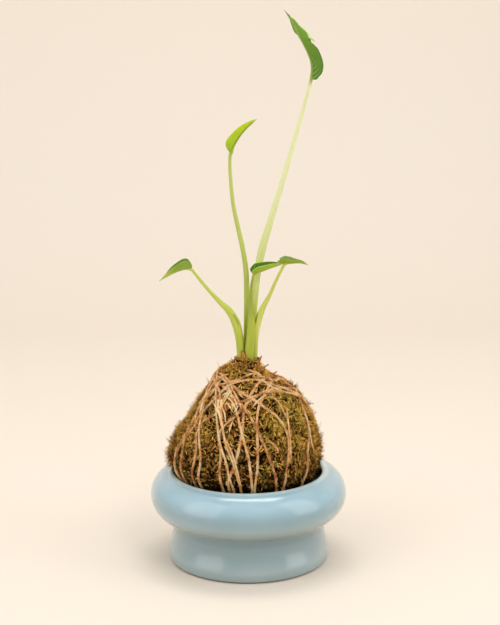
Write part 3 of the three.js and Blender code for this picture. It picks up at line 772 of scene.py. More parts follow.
def makeTwine():
    material = twineMaterial()
    placed, cords, strands = [], [], []
    radius = twine["radius"]
    seed = twine["seed"]
    for turn in twineTurns + fineTurns:
        seed += 1
        route = routeOf(turn, True, twine["step"])
        lift = settle(route, placed, radius)
        size = radius * (1.0 if turn in twineTurns else twine["fineSize"])
        cords.append(cordOf(route, lift, size, seed, 0.02 * ((seed * 7) % 9) - 0.06, closed=True))
        placed.append((route, lift, size))
    for run in twineEnds:
        seed += 1
        route = routeOf(run, False, twine["step"])
        sink = twine["endSink"] * (1 - smooth(fromEnds(route) / 5))
        size = radius * twine["endSize"]
        cords.append(cordOf(route, settle(route, placed, radius), size, seed, 0.1, sink=sink))
    for run in twineFray:
        seed += 1
        route = routeOf(run, False, twine["frayStep"])
        lift = settle(route, placed[:len(twineTurns)], radius * twine["endSize"]) + twine["frayLift"]
        size = twine["frayRadius"]
        strands.append(cordOf(route, lift, size, seed, 0.16, sides=twine["fraySides"], depth=0.4))
    points, faces, layers = gather(cords)
    cord = newPiece("jute_twine", points, faces, [material], layers=layers)
    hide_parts("twine")
    points, faces, layers = gather(strands + [looseFibres(placed)])
    frayed = newPiece("twine_fray", points, faces, [material], layers=layers)
    return placed


def looseFibres(placed):
    # single fibres that stand off the twine: narrow strips
    draw = np.random.default_rng(twine["fibreSeed"])
    routes = np.vstack([
        route + surfaceNormal(route) * (twine["seat"] + lift + crownShift(route))[:, None]
        for route, lift, _ in placed
    ])
    nexts = np.vstack([np.roll(route, -1, 0) - route for route, _, _ in placed])
    shown = np.flatnonzero(routes[:, 2] > 72)
    pick = draw.choice(shown, twine["fibres"])
    along = unit(nexts[pick]) * draw.choice([-1, 1], len(pick))[:, None]
    out = surfaceNormal(routes[pick])
    side = np.cross(along, out)
    lean = draw.normal(0, 0.8, (len(pick), 1))
    way = unit(along + out * draw.uniform(0.05, 0.8, (len(pick), 1)) + side * lean)
    length = draw.uniform(*twine["fibreLength"], (len(pick), 1))
    start = routes[pick] + (out * 0.5 + side * np.sign(lean) * 0.7) * twine["radius"]
    width = unit(np.cross(way, out)) * draw.uniform(*twine["fibreWidth"], (len(pick), 1))
    end = start + way * length * 0.55
    points = np.stack([start - width, start + width, end + width * 0.7, end - width * 0.7], 1)
    faces = np.arange(len(pick) * 4).reshape(-1, 4)
    draw.random(len(pick))  # passed over, so that each fibre keeps its shade
    layers = {"groove": np.zeros(faces.size), "shade": np.repeat(draw.uniform(-0.05, 0.25, len(pick)), 4)}
    return points.reshape(-1, 3), faces, layers


twineRuns = makeTwine()
print("twine wound")


# Moss

moss = {
    "relief": 3.0,  # height of its cushions
    "clump": 8.0,  # from one tuft of sprigs to the next
    "clumpRise": 2.4,
    "depth": 3.4,  # from the ball's outline down to the mat between the tufts
    "sprigs": 20000,
    "sprigsInAPiece": 10000,
    "straws": 4200,
    "leaflets": 9,
    "length": (3.4, 7.2),
    "longShare": 0.03,  # of the sprigs stand out longer
    "leafletLength": 1.6,
    "strawLength": (2.0, 5.4), "strawWidth": (0.14, 0.32),
    "seed": 11, "strawSeed": 23,
    # where living green shows among the dry growth
    "greenSpots": [
        (40, 26, 128, 22, 0.3), (65, 20, 105, 30, 0.2), (2, 14, 128, 8, 0.3), (14, 9, 90, 7, 0.45),
        (-70, 18, 118, 22, 0.16), (-8, 60, 164, 9, 0.26), (160, 50, 120, 30, 0.25),
    ],
    "lowest": 66,  # the pot hides it below this height
    "straw": "#FFCC60", "golden": "#F8A22E", "brown": "#9E5010", "olive": "#E0B420", "green": "#C4CE2A",
    "shadow": "#0D0804",
}


def mossSwell(points, distance):
    x, y, z = points[..., 0], points[..., 1], points[..., 2]
    lumps = (
        0.5
        + 0.2 * np.sin(x * 0.21 + z * 0.13)
        + 0.2 * np.sin(y * 0.19 - z * 0.17 + 1.3)
        + 0.1 * np.sin(x * 0.43 - y * 0.39 + z * 0.31)
    )
    shown = smooth((z - 78) / 10)
    return moss["relief"] * lumps * smooth((distance - 2.5) / 5) * shown


def clumpsOf(points):
    # where each point lies in its tuft: 1 in the middle and 0 at the edge, and the way out from the middle
    size = moss["clump"]
    share, away = np.zeros(len(points)), np.zeros((len(points), 3))
    for i, point in enumerate(points):
        wobble = noise.noise_vector(Vector(point) / 9.0) * 0.25
        distances, centres = noise.voronoi(Vector(point) / size + wobble)
        share[i] = 1 - min(distances[0] / 0.62, 1)
        away[i] = Vector(point) / size + wobble - centres[0]
    return share, away


def tonesOf(points, size):
    return np.array([noise.noise(Vector(point) / size + Vector((7, 3, 5))) for point in points])


def distanceToTwine(points):
    routes = np.vstack([route[::3] for route, _, _ in twineRuns[:14]])
    best = np.full(len(points), 99.0)
    for start in range(0, len(points), 2000):
        part = points[start:start + 2000]
        best[start:start + 2000] = np.sqrt(((part[:, None] - routes[None]) ** 2).sum(2)).min(1)
    return best


def makeMossBed():
    heights = np.concatenate([
        np.linspace(ball["bottom"] + 0.05, 30, 8), np.linspace(34, 76, 12),
        np.linspace(78, 169, 90), [ball["top"]],
    ])
    segments = 200
    angle = aroundRing(segments)
    points = surfacePoint(angle[None, :], heights[:, None]).reshape(-1, 3)
    distance = distanceToTwine(points)
    rough = np.array([noise.fractal(Vector(p) / 4.0, 1.0, 2.0, 3) for p in points])
    press = 0.8 * (1 - smooth((distance - 2.5) / 4))
    shown = smooth((points[:, 2] - 72) / 8) * smooth((172 - points[:, 2]) / 4)
    clump = clumpsOf(points)[0] * smooth((distance - 1) / 3)
    swell = 0.5 * mossSwell(points, distance) - press + crownShift(points)
    swell += (0.7 * rough - moss["depth"] + moss["clumpRise"] * 0.7 * clump) * shown
    points = points + surfaceNormal(points) * swell[:, None]
    holeRim = np.array([[9.7 * math.sin(a), -9.7 * math.cos(a), ball["top"] - 0.4] for a in angle])
    holeWall = holeRim - np.array([0, 0, 14.0])
    middle = np.array([[0, 0, ball["bottom"] + 0.05], [0, 0, ball["top"] - 14.4]])
    rings = len(heights) + 2
    # Moss mat under the sprigs: painted shade, nearly black, with a grain of stems and old growth drawn
    # coarser than they are to show
    material = grainedMaterial(
        "shadedMossMat", {"Roughness": 1, "Specular IOR Level": 0.05}, (3, 3),
        [(0.4, moss["shadow"]), (0.8, "#2A1A0A")], (1.4, 3, 1.2, 1),
    )
    points = np.vstack([points, holeRim, holeWall, middle])
    piece = newPiece("moss_mat", points, gridFaces(rings, segments, wrapColumns=True), [material])
    closeEnds(piece, rings, segments)
    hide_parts("moss_ball")


def mossMaterial():
    # Dried sheet moss: matt, each sprig its own straw, golden or olive, with painted shade at its foot and
    # paler to its tip
    material, tree, shader = newMaterial("driedSheetMoss", {"Roughness": 0.8, "Specular IOR Level": 0.06})
    hue, tip, value = (
        addNode(tree, "Attribute", {"attribute_name": layer}, "Fac") for layer in ("hue", "tip", "value")
    )
    hues = [(place, moss[tone]) for place, tone in (
        (0, "brown"), (0.3, "golden"), (0.55, "straw"), (0.75, "olive"), (1, "green"),
    )]
    body = addNode(tree, "ValToRGB", {"stops": hues, 0: hue})
    shadedFoot = addNode(tree, "Mix", {**multiply, 0: 1, 6: body, 7: "#4A3014"}, 2)
    paler = addNode(tree, "Mix", {**blend, 0: 0.26, 6: body, 7: "#FFD884"}, 2)
    share = addNode(tree, "ValToRGB", {"stops": [(0, 0), (0.35, 0.28), (0.7, 0.92), (1, 1)], 0: tip})
    colour = addNode(tree, "Mix", {**blend, 0: share, 6: shadedFoot, 7: paler}, 2)
    # the value layer: random tone, with painted shade between the tufts and towards the pot, and painted
    # light on the flanks
    depths = [(0, 0.015), (0.28, 0.13), (0.52, 0.65), (0.78, 1)]
    depth = addNode(tree, "ValToRGB", {"stops": depths, 0: value})
    colour = addNode(tree, "Mix", {**multiply, 0: 1, 6: colour, 7: depth}, 2)
    tree.links.new(colour, shader.inputs["Base Color"])
    return material


def sprigTemplate():
    # a thin stem and leaflets in three ranks along it: each a triangle of (share along, sideways, upwards)
    rows = [[(0, -0.22, 0), (0, 0.22, 0), (1.08, 0, 0)]]
    count = moss["leaflets"]
    for k in range(count):
        share = 0.1 + 0.8 * k / (count - 1)
        turn = (k % 3 - 1) * 1.25
        taper = 1 - 0.5 * max(0, share - 0.45) / 0.55
        across, up = math.sin(turn), math.cos(turn)
        reach = moss["leafletLength"] * taper * (0.42 if k % 3 == 1 else 0.62)
        rows.append([
            (share - 0.07, 0.0, 0.0), (share + 0.07, across * 0.15, up * 0.15),
            (min(share + 0.24 * taper, 1.1), across * reach, up * reach * 0.8),
        ])
    return np.array(rows)


def mossPlaces(draw, count):
    # points spread evenly over the ball's shown surface
    heights = np.linspace(moss["lowest"], ball["top"], 400)
    weight = surfaceRadius(heights) * np.hypot(1, np.gradient(surfaceRadius(heights), heights))
    thickly = 0.45 + 0.55 * smooth((heights - 70) / 10) + 0.9 * smooth((heights - 150) / 12)
    weight = np.cumsum(weight * thickly)
    height = np.interp(draw.uniform(0, weight[-1], count), weight, heights)
    return draw.uniform(-math.pi, math.pi, count), height


def sprigPoints(draw, template, degrees, height, base, out, away, clump, free):
    # each sprig leans out from the middle of its tuft, and bends over towards its tip
    count = len(base)
    clump, free = clump[:, None], free[:, None]
    away = unit(squareTo(away, out))
    way = unit(away * (1.1 - 0.9 * clump) + draw.normal(0, 0.42, (count, 3)) + [0, 0, 0.12])
    stand = (0.25 + 0.9 * clump + draw.uniform(-0.15, 0.35, (count, 1))) * (0.3 + 0.7 * free)
    start = unit(squareTo(way, out) + out * stand)
    pull = unit(np.cross(np.cross(start, out), start)) * -1 + draw.normal(0, 0.5, (count, 3))
    pull = unit(squareTo(pull, start))
    side = np.cross(start, pull)
    length = draw.uniform(*moss["length"], (count, 1)) * (0.55 + 0.45 * free)
    length = length * np.where(draw.random((count, 1)) < moss["longShare"], 1.5, 1)
    length = length * (0.6 + 0.4 * smooth((height[:, None] - 66) / 16))
    shaggy = np.exp(-((degrees + 88) / 34) ** 2 - ((height - 104) / 34) ** 2)[:, None]
    length = length * (1 + 0.15 * shaggy) * (1 - 0.3 * smooth((height - 158) / 8))[:, None]
    start = unit(start + out * 0.35 * shaggy)
    bendBy = draw.uniform(0.05, 0.75, (count, 1))
    fat = draw.uniform(0.8, 1.4, (count, 1))
    share, across, upward = (template[..., k].ravel()[None] for k in range(3))
    turned = bendBy * share
    forward = length * np.sin(turned) / bendBy
    sagging = length * (1 - np.cos(turned)) / bendBy
    inward = -np.sin(turned)[..., None] * start[:, None] + np.cos(turned)[..., None] * pull[:, None]
    points = (
        base[:, None] + start[:, None] * forward[..., None] + pull[:, None] * sagging[..., None]
        + side[:, None] * (across * fat)[..., None] - inward * (upward * fat)[..., None]
    )
    return points.reshape(-1, 3)


def sprigTones(draw, template, degrees, height, base, clump):
    # browner low on the front, greener in spots; painted shade between the tufts and towards the pot, and
    # painted light on the right and left flanks
    count = len(base)
    green = spotsOn(degrees, height, moss["greenSpots"])
    hue = 0.31 + 0.3 * tonesOf(base, 21.0) + draw.normal(0, 0.2, count) + green
    hue -= 0.2 * smooth((100 - height) / 30) * (1 - smooth((np.abs(degrees) - 45) / 25))
    hue = np.clip(hue - 0.22 * smooth((height - 158) / 8) + 0.08 * smooth((height - 100) / 20), 0, 1)
    share = template[..., 0].ravel()[None]
    bright = np.clip(share * 0.75 + draw.uniform(-0.15, 0.25, (count, 1)), 0, 1)
    value = 0.25 * clump + 1.95 * draw.random(count) ** 2 + 0.4 * tonesOf(base, 13.0)
    value = value * (0.26 + 0.49 * smooth((height - 68) / 40) + 0.75 * smooth((height - 98) / 35))
    # painted light: brighter on the right, and a little on the left
    sunny = 0.34 * smooth((degrees - 10) / 30) + 0.18 * smooth((-30 - degrees) / 30)
    value = value + (0.3 * green + sunny) * smooth((height - 75) / 30)
    value = np.clip(value * (1 - 0.15 * smooth((height - 160) / 6)), 0, 1)
    corners = share.size
    return {"hue": np.repeat(hue, corners), "tip": bright.ravel(), "value": np.repeat(value, corners)}


def makeSprigs():
    draw = np.random.default_rng(moss["seed"])
    template = sprigTemplate()
    material = mossMaterial()
    count = moss["sprigsInAPiece"]
    for number in range(1, moss["sprigs"] // count + 1):
        angle, height = mossPlaces(draw, count)
        degrees = np.degrees(angle)
        base = surfacePoint(angle, height)
        distance = distanceToTwine(base)
        clump, away = clumpsOf(base)
        out = surfaceNormal(base)
        flank = np.exp(-((np.abs(degrees) - 95) / 16) ** 2)
        free = np.maximum(smooth((distance - 1.2) / 3.5), 0.75 * flank)
        rise = 0.5 * mossSwell(base, distance) + crownShift(base) - moss["depth"]
        rise = rise + moss["clumpRise"] * clump * free
        base = base + out * (rise + 0.3)[:, None]
        points = sprigPoints(draw, template, degrees, height, base, out, away, clump, free)
        layers = sprigTones(draw, template, degrees, height, base, clump)
        faces = np.arange(len(points)).reshape(-1, 3)
        piece = newPiece(f"moss_sprigs_{number}", points, faces, [material], layers=layers, flat=True)


def makeStraws():
    # dry single stems that lie over the sprigs: narrow folded strips with pointed ends
    draw = np.random.default_rng(moss["strawSeed"])
    angle, height = mossPlaces(draw, moss["straws"])
    base = surfacePoint(angle, height)
    kept = distanceToTwine(base) > 1.6
    base, angle, height = base[kept], angle[kept], height[kept]
    count = len(base)
    out = surfaceNormal(base)
    base = base + out * (crownShift(base) + draw.uniform(-2.4, 0.4, count))[:, None]
    way = unit(draw.normal(0, 1, (count, 3)) + [0, 0, 0.2])
    way = unit(squareTo(way, out) + out * draw.uniform(-0.1, 0.5, (count, 1)))
    side = unit(np.cross(way, out))
    length = draw.uniform(*moss["strawLength"], (count, 1))
    width = draw.uniform(*moss["strawWidth"], (count, 1))
    bow = side * draw.normal(0, 0.06, (count, 1)) * length - out * 0.08 * length
    rows = []
    for place in np.linspace(0, 1, 5):
        spot = base + way * length * (place - 0.3) + bow * (4 * place * (1 - place) - 1)
        half = side * width * (0.25 + math.sin(math.pi * (0.12 + 0.84 * place)))
        rows.append(np.stack([spot - half, spot + out * 0.12, spot + half], 1))
    points = np.stack(rows, 1).reshape(-1, 3)
    corners = len(rows) * 3
    faces = (np.arange(count)[:, None, None] * corners + gridFaces(len(rows), 3)[None]).reshape(-1, 4)
    # painted shade: lower straws are dimmer towards the pot
    value = 0.3 + draw.random(count) - 0.6 * (1 - smooth((height - 70) / 55)) + 0.3 * tonesOf(base, 15.0)
    green = spotsOn(np.degrees(angle), height, moss["greenSpots"])
    hue = np.clip(0.48 + draw.normal(0, 0.17, count) + 0.4 * green, 0, 1)
    layers = {
        "hue": np.repeat(hue, corners), "tip": np.full(count * corners, 0.72),
        "value": np.repeat(np.clip(value, 0, 1), corners),
    }
    piece = newPiece("moss_straws", points, faces, [bpy.data.materials["driedSheetMoss"]], layers=layers)


makeMossBed()
makeSprigs()
makeStraws()
print("moss laid")

# Leaves

# A petiole station is [x, y, z, half width across the front, half depth], as in the solid model.
# Fold, roll, curl and trim are [first half, second half]: degrees for the first three, a factor for the trim.
# All but curl may be (share of the length, value) stops. Veins: how clear at the foot and in the middle.
leaves = [
    {
        "name": "leaf_1",
        "petiole": [
            [2.6, 3.2, 150, 2.6, 2.6], [3.2, 3.6, 176, 2.8, 2.7], [4.6, 4.4, 192, 3, 2.8],
            [6.2, 5, 217.6, 2.8, 2.6], [8.9, 6.3, 240, 2.8, 2.6], [13, 7.8, 260, 3.2, 2.5],
            [18.6, 9.5, 278.4, 2.75, 2.3], [24.8, 11, 298.5, 2.3, 2], [32.2, 13, 322.5, 2.1, 1.8],
            [39.4, 15, 346.3, 1.6, 1.6], [45.7, 16.5, 368.5, 1.5, 1.5], [50.6, 17.5, 386, 1.4, 1.4],
            [52.7, 17.9, 394.3, 1.3, 1.3],
        ],
        "spine": [
            [52.8, 18, 394.6], [52.9, 18, 402], [51, 17.5, 411], [46, 16.5, 422], [41, 15, 431],
            [36.8, 12.5, 440.5], [31, 9, 449],
        ],
        "face": [
            (0, (0.95, -0.25, 0)), (0.5, (0.93, -0.2, 0.2)), (0.7, (0.4, 0.8, 0.4)), (1, (0.35, 0.85, 0.4)),
        ],
        "width": 11.2, "taper": 2.2, "lobe": 0.6, "wedge": 0, "corner": 3.2,
        "fold": [62, [(0, 74), (0.52, 74), (0.62, 12), (1, 12)]], "curl": [18, -20],
        "roll": [10, 25],
        "trim": [
            [
                (0, 1), (0.36, 1), (0.42, 0.88), (0.455, 0.76), (0.5, 0.88),
                (0.57, 0.92), (0.65, 0.88), (0.78, 0.72), (0.88, 0.4), (1, 0.3),
            ],
            [
                (0, 0.8), (0.4, 0.7), (0.55, 0.3), (0.6, 0.14),
                (0.625, 0.32), (0.78, 0.38), (0.88, 0.25), (1, 0.2),
            ],
        ],
        "margin": {"from": 0.475, "to": 0.93, "radius": 0.7},
        "stalk": ["#BCC652", "#D0D88E", "#E1E6B2", "#93A648"],
        "upper": ["#527A0E", "#4A730A", "#567F18"], "under": ["#4F7C10", "#668F22", "#769A32"],
        "veins": (0.75, 0.05), "spacing": 3.4, "veinEnd": 0.1,
        "rib": "#8DAC4C", "vein": "#B4CC84", "rim": "#365F16", "dripTip": "#6A5A20",
    },
    {
        "name": "leaf_2",
        "petiole": [
            [-1.6, 3.4, 150, 2.6, 2.4], [-0.9, 3.7, 176, 2.6, 2.5], [-0.3, 3.7, 193, 2.6, 2.4],
            [0, 4, 218, 2.35, 2.2], [-0.6, 6, 242.3, 2.1, 2], [-2.9, 7, 258.6, 2, 1.9],
            [-7.1, 9, 278.7, 1.8, 1.7], [-10.3, 10, 295, 1.6, 1.6], [-11.9, 11, 311, 1.45, 1.4],
            [-12.8, 12, 327, 1.35, 1.35], [-12.4, 12, 335.4, 1.25, 1.25],
        ],
        "spine": [[-11.6, 12, 335.6], [-9.2, 12, 341], [-4.3, 11, 349.5], [1.5, 9, 356.7], [9.4, 4, 364.3]],
        "face": [(0, (-0.95, -0.3, 0.1)), (1, (-0.5, -0.3, 0.8))],
        "width": 9.6, "taper": 2, "lobe": 0, "wedge": 3.6, "corner": 0,
        "fold": [76, 64], "curl": [10, 22],
        "roll": [20, 20],
        "trim": [0.82, 1],
        "stalk": ["#AEBB3E", "#B1BD58", "#BAC66A", "#AABF44"],
        "upper": ["#A2BE20", "#B0CE1C", "#B8D424"], "under": ["#9CB81E", "#B2CE14", "#BCD61C"],
        "veins": (0.2, 0.2), "spacing": 2.8,
        # its rib colour reaches far across: painted shade along the folded midrib
        "rib": "#7C9416", "ribAndShadeReach": 0.3, "vein": "#B9D23A", "rim": "#B4CC1C", "dripTip": "#A5B82A",
    },
    {
        "name": "leaf_3",
        "petiole": [
            [-4.8, -2.2, 150, 2.8, 3.4], [-5.4, -2.6, 176, 3.1, 3.9], [-6.6, -3.4, 190, 3.3, 3.8],
            [-9.1, -4.6, 201, 3.6, 3.1], [-14.2, -6, 211, 2.9, 2.6], [-20.8, -7, 218, 2.1, 2],
            [-28.7, -8.5, 227, 1.45, 1.4], [-36.9, -10, 237.3, 1.3, 1.25], [-43.8, -11.9, 246.9, 1.15, 1.15],
        ],
        "slit": {"angle": -58, "from": 0.32, "to": 0.47, "depth": 0.14},
        "spine": [[-43.9, -12, 246.9], [-50.6, -13, 246.4], [-59.4, -15, 243.6], [-69.4, -17, 238]],
        "face": [(0, (0.15, -0.2, 1)), (1, (-0.4, -0.2, 0.9))],
        "width": 10.6, "taper": 1.15, "lobe": 0.5, "wedge": 0, "corner": 1.5,
        "fold": [62, 72], "curl": [14, 4],
        "roll": [15, 15],
        "trim": [
            [(0, 1.08), (0.5, 1.05), (0.85, 0.8), (1, 1)], [(0, 0.97), (0.5, 0.92), (0.85, 0.6), (1, 0.6)],
        ],
        "stalk": ["#B0BC40", "#BCC84E", "#BFCB5C", "#C2D066"],
        "upper": ["#5E8A26", "#6B942E", "#8CAE3C"], "under": ["#82A034", "#88A436", "#C3D452"],
        "veins": (0.8, 0.8), "spacing": 4.4, "slant": 2.4,
        "rib": "#A8C048", "vein": "#C4D67C", "rim": "#6C8C28", "dripTip": "#C8D848",
    },
    {
        "name": "leaf_4",
        "petiole": [
            [1.8, -4.4, 150, 3.4, 2.4], [1.6, -4.8, 176, 3.8, 2.6], [3.4, -5.2, 190, 4, 2.6],
            [3.6, -5.8, 203, 3.1, 2.3], [3.2, -6, 212, 2, 1.9], [3.1, -6.5, 224, 1.1, 1.2],
            [3.9, -8, 233.5, 1, 1.05], [5.6, -9.9, 241.9, 1, 1],
        ],
        "spine": [[5.6, -10, 241.9], [12.4, -8, 243.6], [20.5, -5, 246], [30.2, -1, 248.2]],
        "face": [(0, (-0.05, -0.17, 0.98)), (1, (0, -0.17, 0.98))],
        "width": 8.4, "taper": 1.9, "lobe": 1.2, "wedge": -0.6, "corner": 0,
        "fold": [50, 48], "curl": [8, 12],
        "roll": [10, 10],
        "trim": [1, 1],
        "stalk": ["#AAB63C", "#AEBA42", "#98A63A", "#A2B044"],
        "upper": ["#3C7616", "#336E14", "#3F7A16"], "under": ["#8FAE1C", "#A0B81A", "#A8C022"],
        "veins": (0.3, 0.25), "spacing": 3.2,
        "rib": "#8FB02C", "vein": "#B9D046", "rim": "#C0D040", "dripTip": "#9CB830",
    },
    {
        "name": "leaf_5",
        "petiole": [
            [5.6, -0.6, 150, 2.5, 3.2], [5.9, -0.8, 176, 2.5, 3.6], [7, -1.6, 190, 2.4, 3.2],
            [9, -3, 201, 2.7, 2.6], [12.1, -5, 211.5, 2.5, 2.2], [18.4, -8, 224.5, 1.5, 1.5],
            [24, -12, 238, 1.25, 1.25], [29.9, -16.9, 251.2, 1.15, 1.15],
        ],
        "slit": {"angle": -150, "from": 0.26, "to": 0.54, "depth": 0.5},
        "spine": [[29.9, -17, 251.2], [36.2, -20, 252.4], [42.4, -22, 253], [48.6, -25, 252]],
        "face": [(0, (-0.1, -0.2, 0.98)), (1, (0.1, -0.2, 0.98))],
        "width": 7.6, "taper": 1.7, "lobe": 1.8, "wedge": -1.6, "corner": -1.6,
        "fold": [56, 50], "curl": [10, 10],
        "roll": [10, 10],
        "trim": [[(0, 1), (0.3, 0.8), (0.6, 0.6), (1, 0.7)], [(0, 1), (0.3, 0.8), (0.6, 0.6), (1, 0.7)]],
        "stalk": ["#B2BE44", "#D0D66E", "#C6CE64", "#BCC858"],
        "upper": ["#7C9A48", "#84A050", "#8CA850"], "under": ["#8CA22C", "#98AA30", "#A0B438"],
        "veins": (0.3, 0.25), "spacing": 3.0,
        "rib": "#A9BC5A", "vein": "#AFC060", "rim": "#7E9A34", "dripTip": "#A9B848",
    },
]
blade = {
    "rows": 72, "columns": 18, "lift": 0.7, "thickness": 0.5,
    "rollFrom": 0.74,  # where a margin starts to roll, midrib to edge
    "veinSlant": 0.8,
}
stalk = {
    "sides": 36, "rings": 110,
    "streak": (0.5, 14),  # width and length of one, coarser than the real ones
}


def bladeMaterial(leaf, side):
    # Living leaf, waxy skin over soft flesh: satin sheen, paler sunken veins, a thin translucent rim
    material, tree, shader = newMaterial(leaf["name"] + side.capitalize() + "Leaf", {
        "Roughness": 0.42, "IOR": 1.38, "Subsurface Weight": 0.12, "Subsurface Radius": (0.3, 0.6, 0.1),
        "Subsurface Scale": 2 * mm,
    })
    place = addNode(tree, "TexCoord", {}, "Object")
    share, reach, veins = (
        addNode(tree, "Attribute", {"attribute_name": layer}, "Fac")
        for layer in ("share", "reach", "veinPlace")
    )
    foot, middle, tip = leaf[side]
    tones = [(0, foot), (0.45, middle), (0.86, tip), (0.97, leaf["dripTip"])]
    colour = addNode(tree, "ValToRGB", {"stops": tones, 0: share})
    patch = addNode(tree, "TexNoise", {"Vector": place, "Scale": 1 / (3 * mm), "Detail": 2})
    mottle = addNode(tree, "ValToRGB", {"stops": [(0.3, 0.86), (0.7, 1)], 0: patch})
    colour = addNode(tree, "Mix", {**multiply, 0: 1, 6: colour, 7: mottle}, 2)
    # one vein to a spacing, fading towards the edge and the tip
    wave = addNode(tree, "Math", {"operation": "PINGPONG", 0: veins, 1: leaf["spacing"] / 2})
    vein = addNode(tree, "ValToRGB", {"stops": [(0, 1), (0.17 * leaf["spacing"], 0)], 0: wave})
    clear, fading = leaf["veins"]
    for source, stops in (
        (share, [(0.02, clear), (0.3, fading), (0.9, 0)]),
        (reach, [(0.35, 1), (0.8, leaf.get("veinEnd", 0.6))]),
    ):
        shown = addNode(tree, "ValToRGB", {"stops": stops, 0: source})
        vein = addNode(tree, "Mix", {**multiply, 0: 1, 6: vein, 7: shown}, 2)
    # how far the rib colour reaches from the midrib; on leaf_2 it is painted shade along the fold
    ribAndShadeReach = leaf.get("ribAndShadeReach", 0.1)
    rib = addNode(tree, "ValToRGB", {"stops": [(0, 0.9), (ribAndShadeReach / 2, 0.7), (ribAndShadeReach, 0)], 0: reach})
    rim = addNode(tree, "ValToRGB", {"stops": [(0.9, 0), (0.98, 0.8)], 0: reach})
    for shown, tone in ((vein, "vein"), (rib, "rib"), (rim, "rim")):
        colour = addNode(tree, "Mix", {**blend, 0: shown, 6: colour, 7: leaf[tone]}, 2)
    tree.links.new(colour, shader.inputs["Base Color"])
    bump = addNode(tree, "Bump", {"Strength": 0.5, "Distance": 0.25 * mm, "Height": vein})
    tree.links.new(bump, shader.inputs["Normal"])
    return material


def stopsAlong(share, stops):
    return np.stack([between(share, [(place, way[k]) for place, way in stops]) for k in range(3)], 1)


def makeBlade(leaf):
    rows, columns = blade["rows"], blade["columns"]
    share = np.linspace(0, 1, rows + 1)
    fine = curveThrough(leaf["spine"], False, rows + 1)
    along = waysAlong(fine)
    face = unit(squareTo(stopsAlong(share, leaf["face"]), along))
    side = np.cross(along, face)
    foot = 0.6 + 0.4 * np.sin(math.pi / 2 * np.minimum(1, share / 0.22))
    form = foot * (1 - share ** leaf["taper"])
    half = np.maximum(leaf["width"] * form, 0.5)
    flatten = np.minimum(1, half / 3)
    upper, lower, layers = [], [], {"share": [], "reach": [], "veinPlace": []}
    span = np.linalg.norm(np.diff(fine, axis=0), axis=1).sum()
    hands = [[between(share, leaf[key][hand]) for key in ("trim", "roll", "fold")] for hand in (0, 1)]
    for j in range(-columns, columns + 1):
        reach = abs(j) / columns
        hand = 0 if j < 0 else 1
        steps = np.linspace(0, reach, 24)
        trim, roll, fold = hands[hand]
        trimmed = half * trim
        rolled = smooth((steps - blade["rollFrom"]) / (1 - blade["rollFrom"]))
        tilts = (
            (np.radians(fold) * flatten)[:, None]
            + math.radians(leaf["curl"][hand]) * flatten[:, None] * steps[None]
            + (np.radians(roll) * flatten)[:, None] * rolled[None]
        )
        arcStep = trimmed[:, None] * (steps[1] - steps[0])
        middleTilt = (tilts[:, 1:] + tilts[:, :-1]) / 2
        out = (np.cos(middleTilt) * arcStep).sum(1)
        up = (np.sin(middleTilt) * arcStep).sum(1)
        tilt = tilts[:, -1] if j else np.zeros(rows + 1)
        lobe = leaf["lobe"] * math.sin(math.pi * reach * 0.9) - leaf["wedge"] * reach
        back = lobe * (1 - share) ** 2 - leaf["corner"] * reach ** 4 * (1 - share) ** 14
        sign = np.sign(j)
        spot = (
            fine + face * (blade["lift"] + up)[:, None] + side * (sign * out)[:, None] - along * back[:, None]
        )
        normal = face * np.cos(tilt)[:, None] - side * (sign * np.sin(tilt))[:, None]
        keel = 0.5 * flatten * smooth(share / 0.3) * math.exp(-(reach / 0.06) ** 2)
        thick = blade["thickness"] / 2 * (1 - 0.6 * reach ** 4)
        upper.append(spot + normal * thick)
        lower.append(spot - normal * (thick + keel)[:, None])
        layers["share"].append(share)
        layers["reach"].append(np.full(rows + 1, reach))
        layers["veinPlace"].append(share * span - leaf.get("slant", blade["veinSlant"]) * reach * trimmed)
    upper, lower = (np.stack(grid, 1) for grid in (upper, lower))
    edge = (upper[:, 0] + lower[:, 0]) / 2
    across = 2 * columns + 1
    count = (rows + 1) * across
    grid = gridFaces(rows + 1, across)
    under = grid[:, ::-1] + count
    # walls from the upper skin to the under one: both margins, then foot and tip
    near = np.arange(rows) * across
    foot = np.arange(across - 1)
    far, tip = near + across - 1, foot + rows * across
    edges = np.vstack([
        np.stack([a, b, b + count, a + count], 1)
        for a, b in ((near, near + across), (far + across, far), (foot + 1, foot), (tip, tip + 1))
    ])
    points = np.vstack([upper.reshape(-1, 3), lower.reshape(-1, 3)])
    faces = np.vstack([grid, under, edges])
    slots = np.concatenate([np.zeros(len(grid)), np.ones(len(under)), np.ones(len(edges))])
    values = {k: np.tile(np.stack(v, 1).ravel(), 2) for k, v in layers.items()}
    materials = [bladeMaterial(leaf, "upper"), bladeMaterial(leaf, "under")]
    if "margin" in leaf:
        rolled = rolledMargin(leaf["margin"], edge, side, along, face)
        faces = np.vstack([faces, rolled[1] + len(points)])
        points = np.vstack([points, rolled[0]])
        slots = np.concatenate([slots, np.full(len(rolled[1]), 2)])
        blank = {"share": 0.8, "reach": 0.5, "veinPlace": 1.2}
        values = {k: np.append(v, np.full(len(rolled[0]), blank[k])) for k, v in values.items()}
        # Margin of a leaf still rolled up: thin pale underside skin
        materials.append(grainedMaterial(
            "rolledLeafMargin", {"Roughness": 0.4, "IOR": 1.42}, (3, 2), [(0.3, "#A6C46C"), (0.7, "#CFE0A4")],
        ))
    piece = newPiece(leaf["name"] + "_veined_blade", points, faces, materials, slots=slots, layers=values)
    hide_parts(leaf["name"] + "_blade")


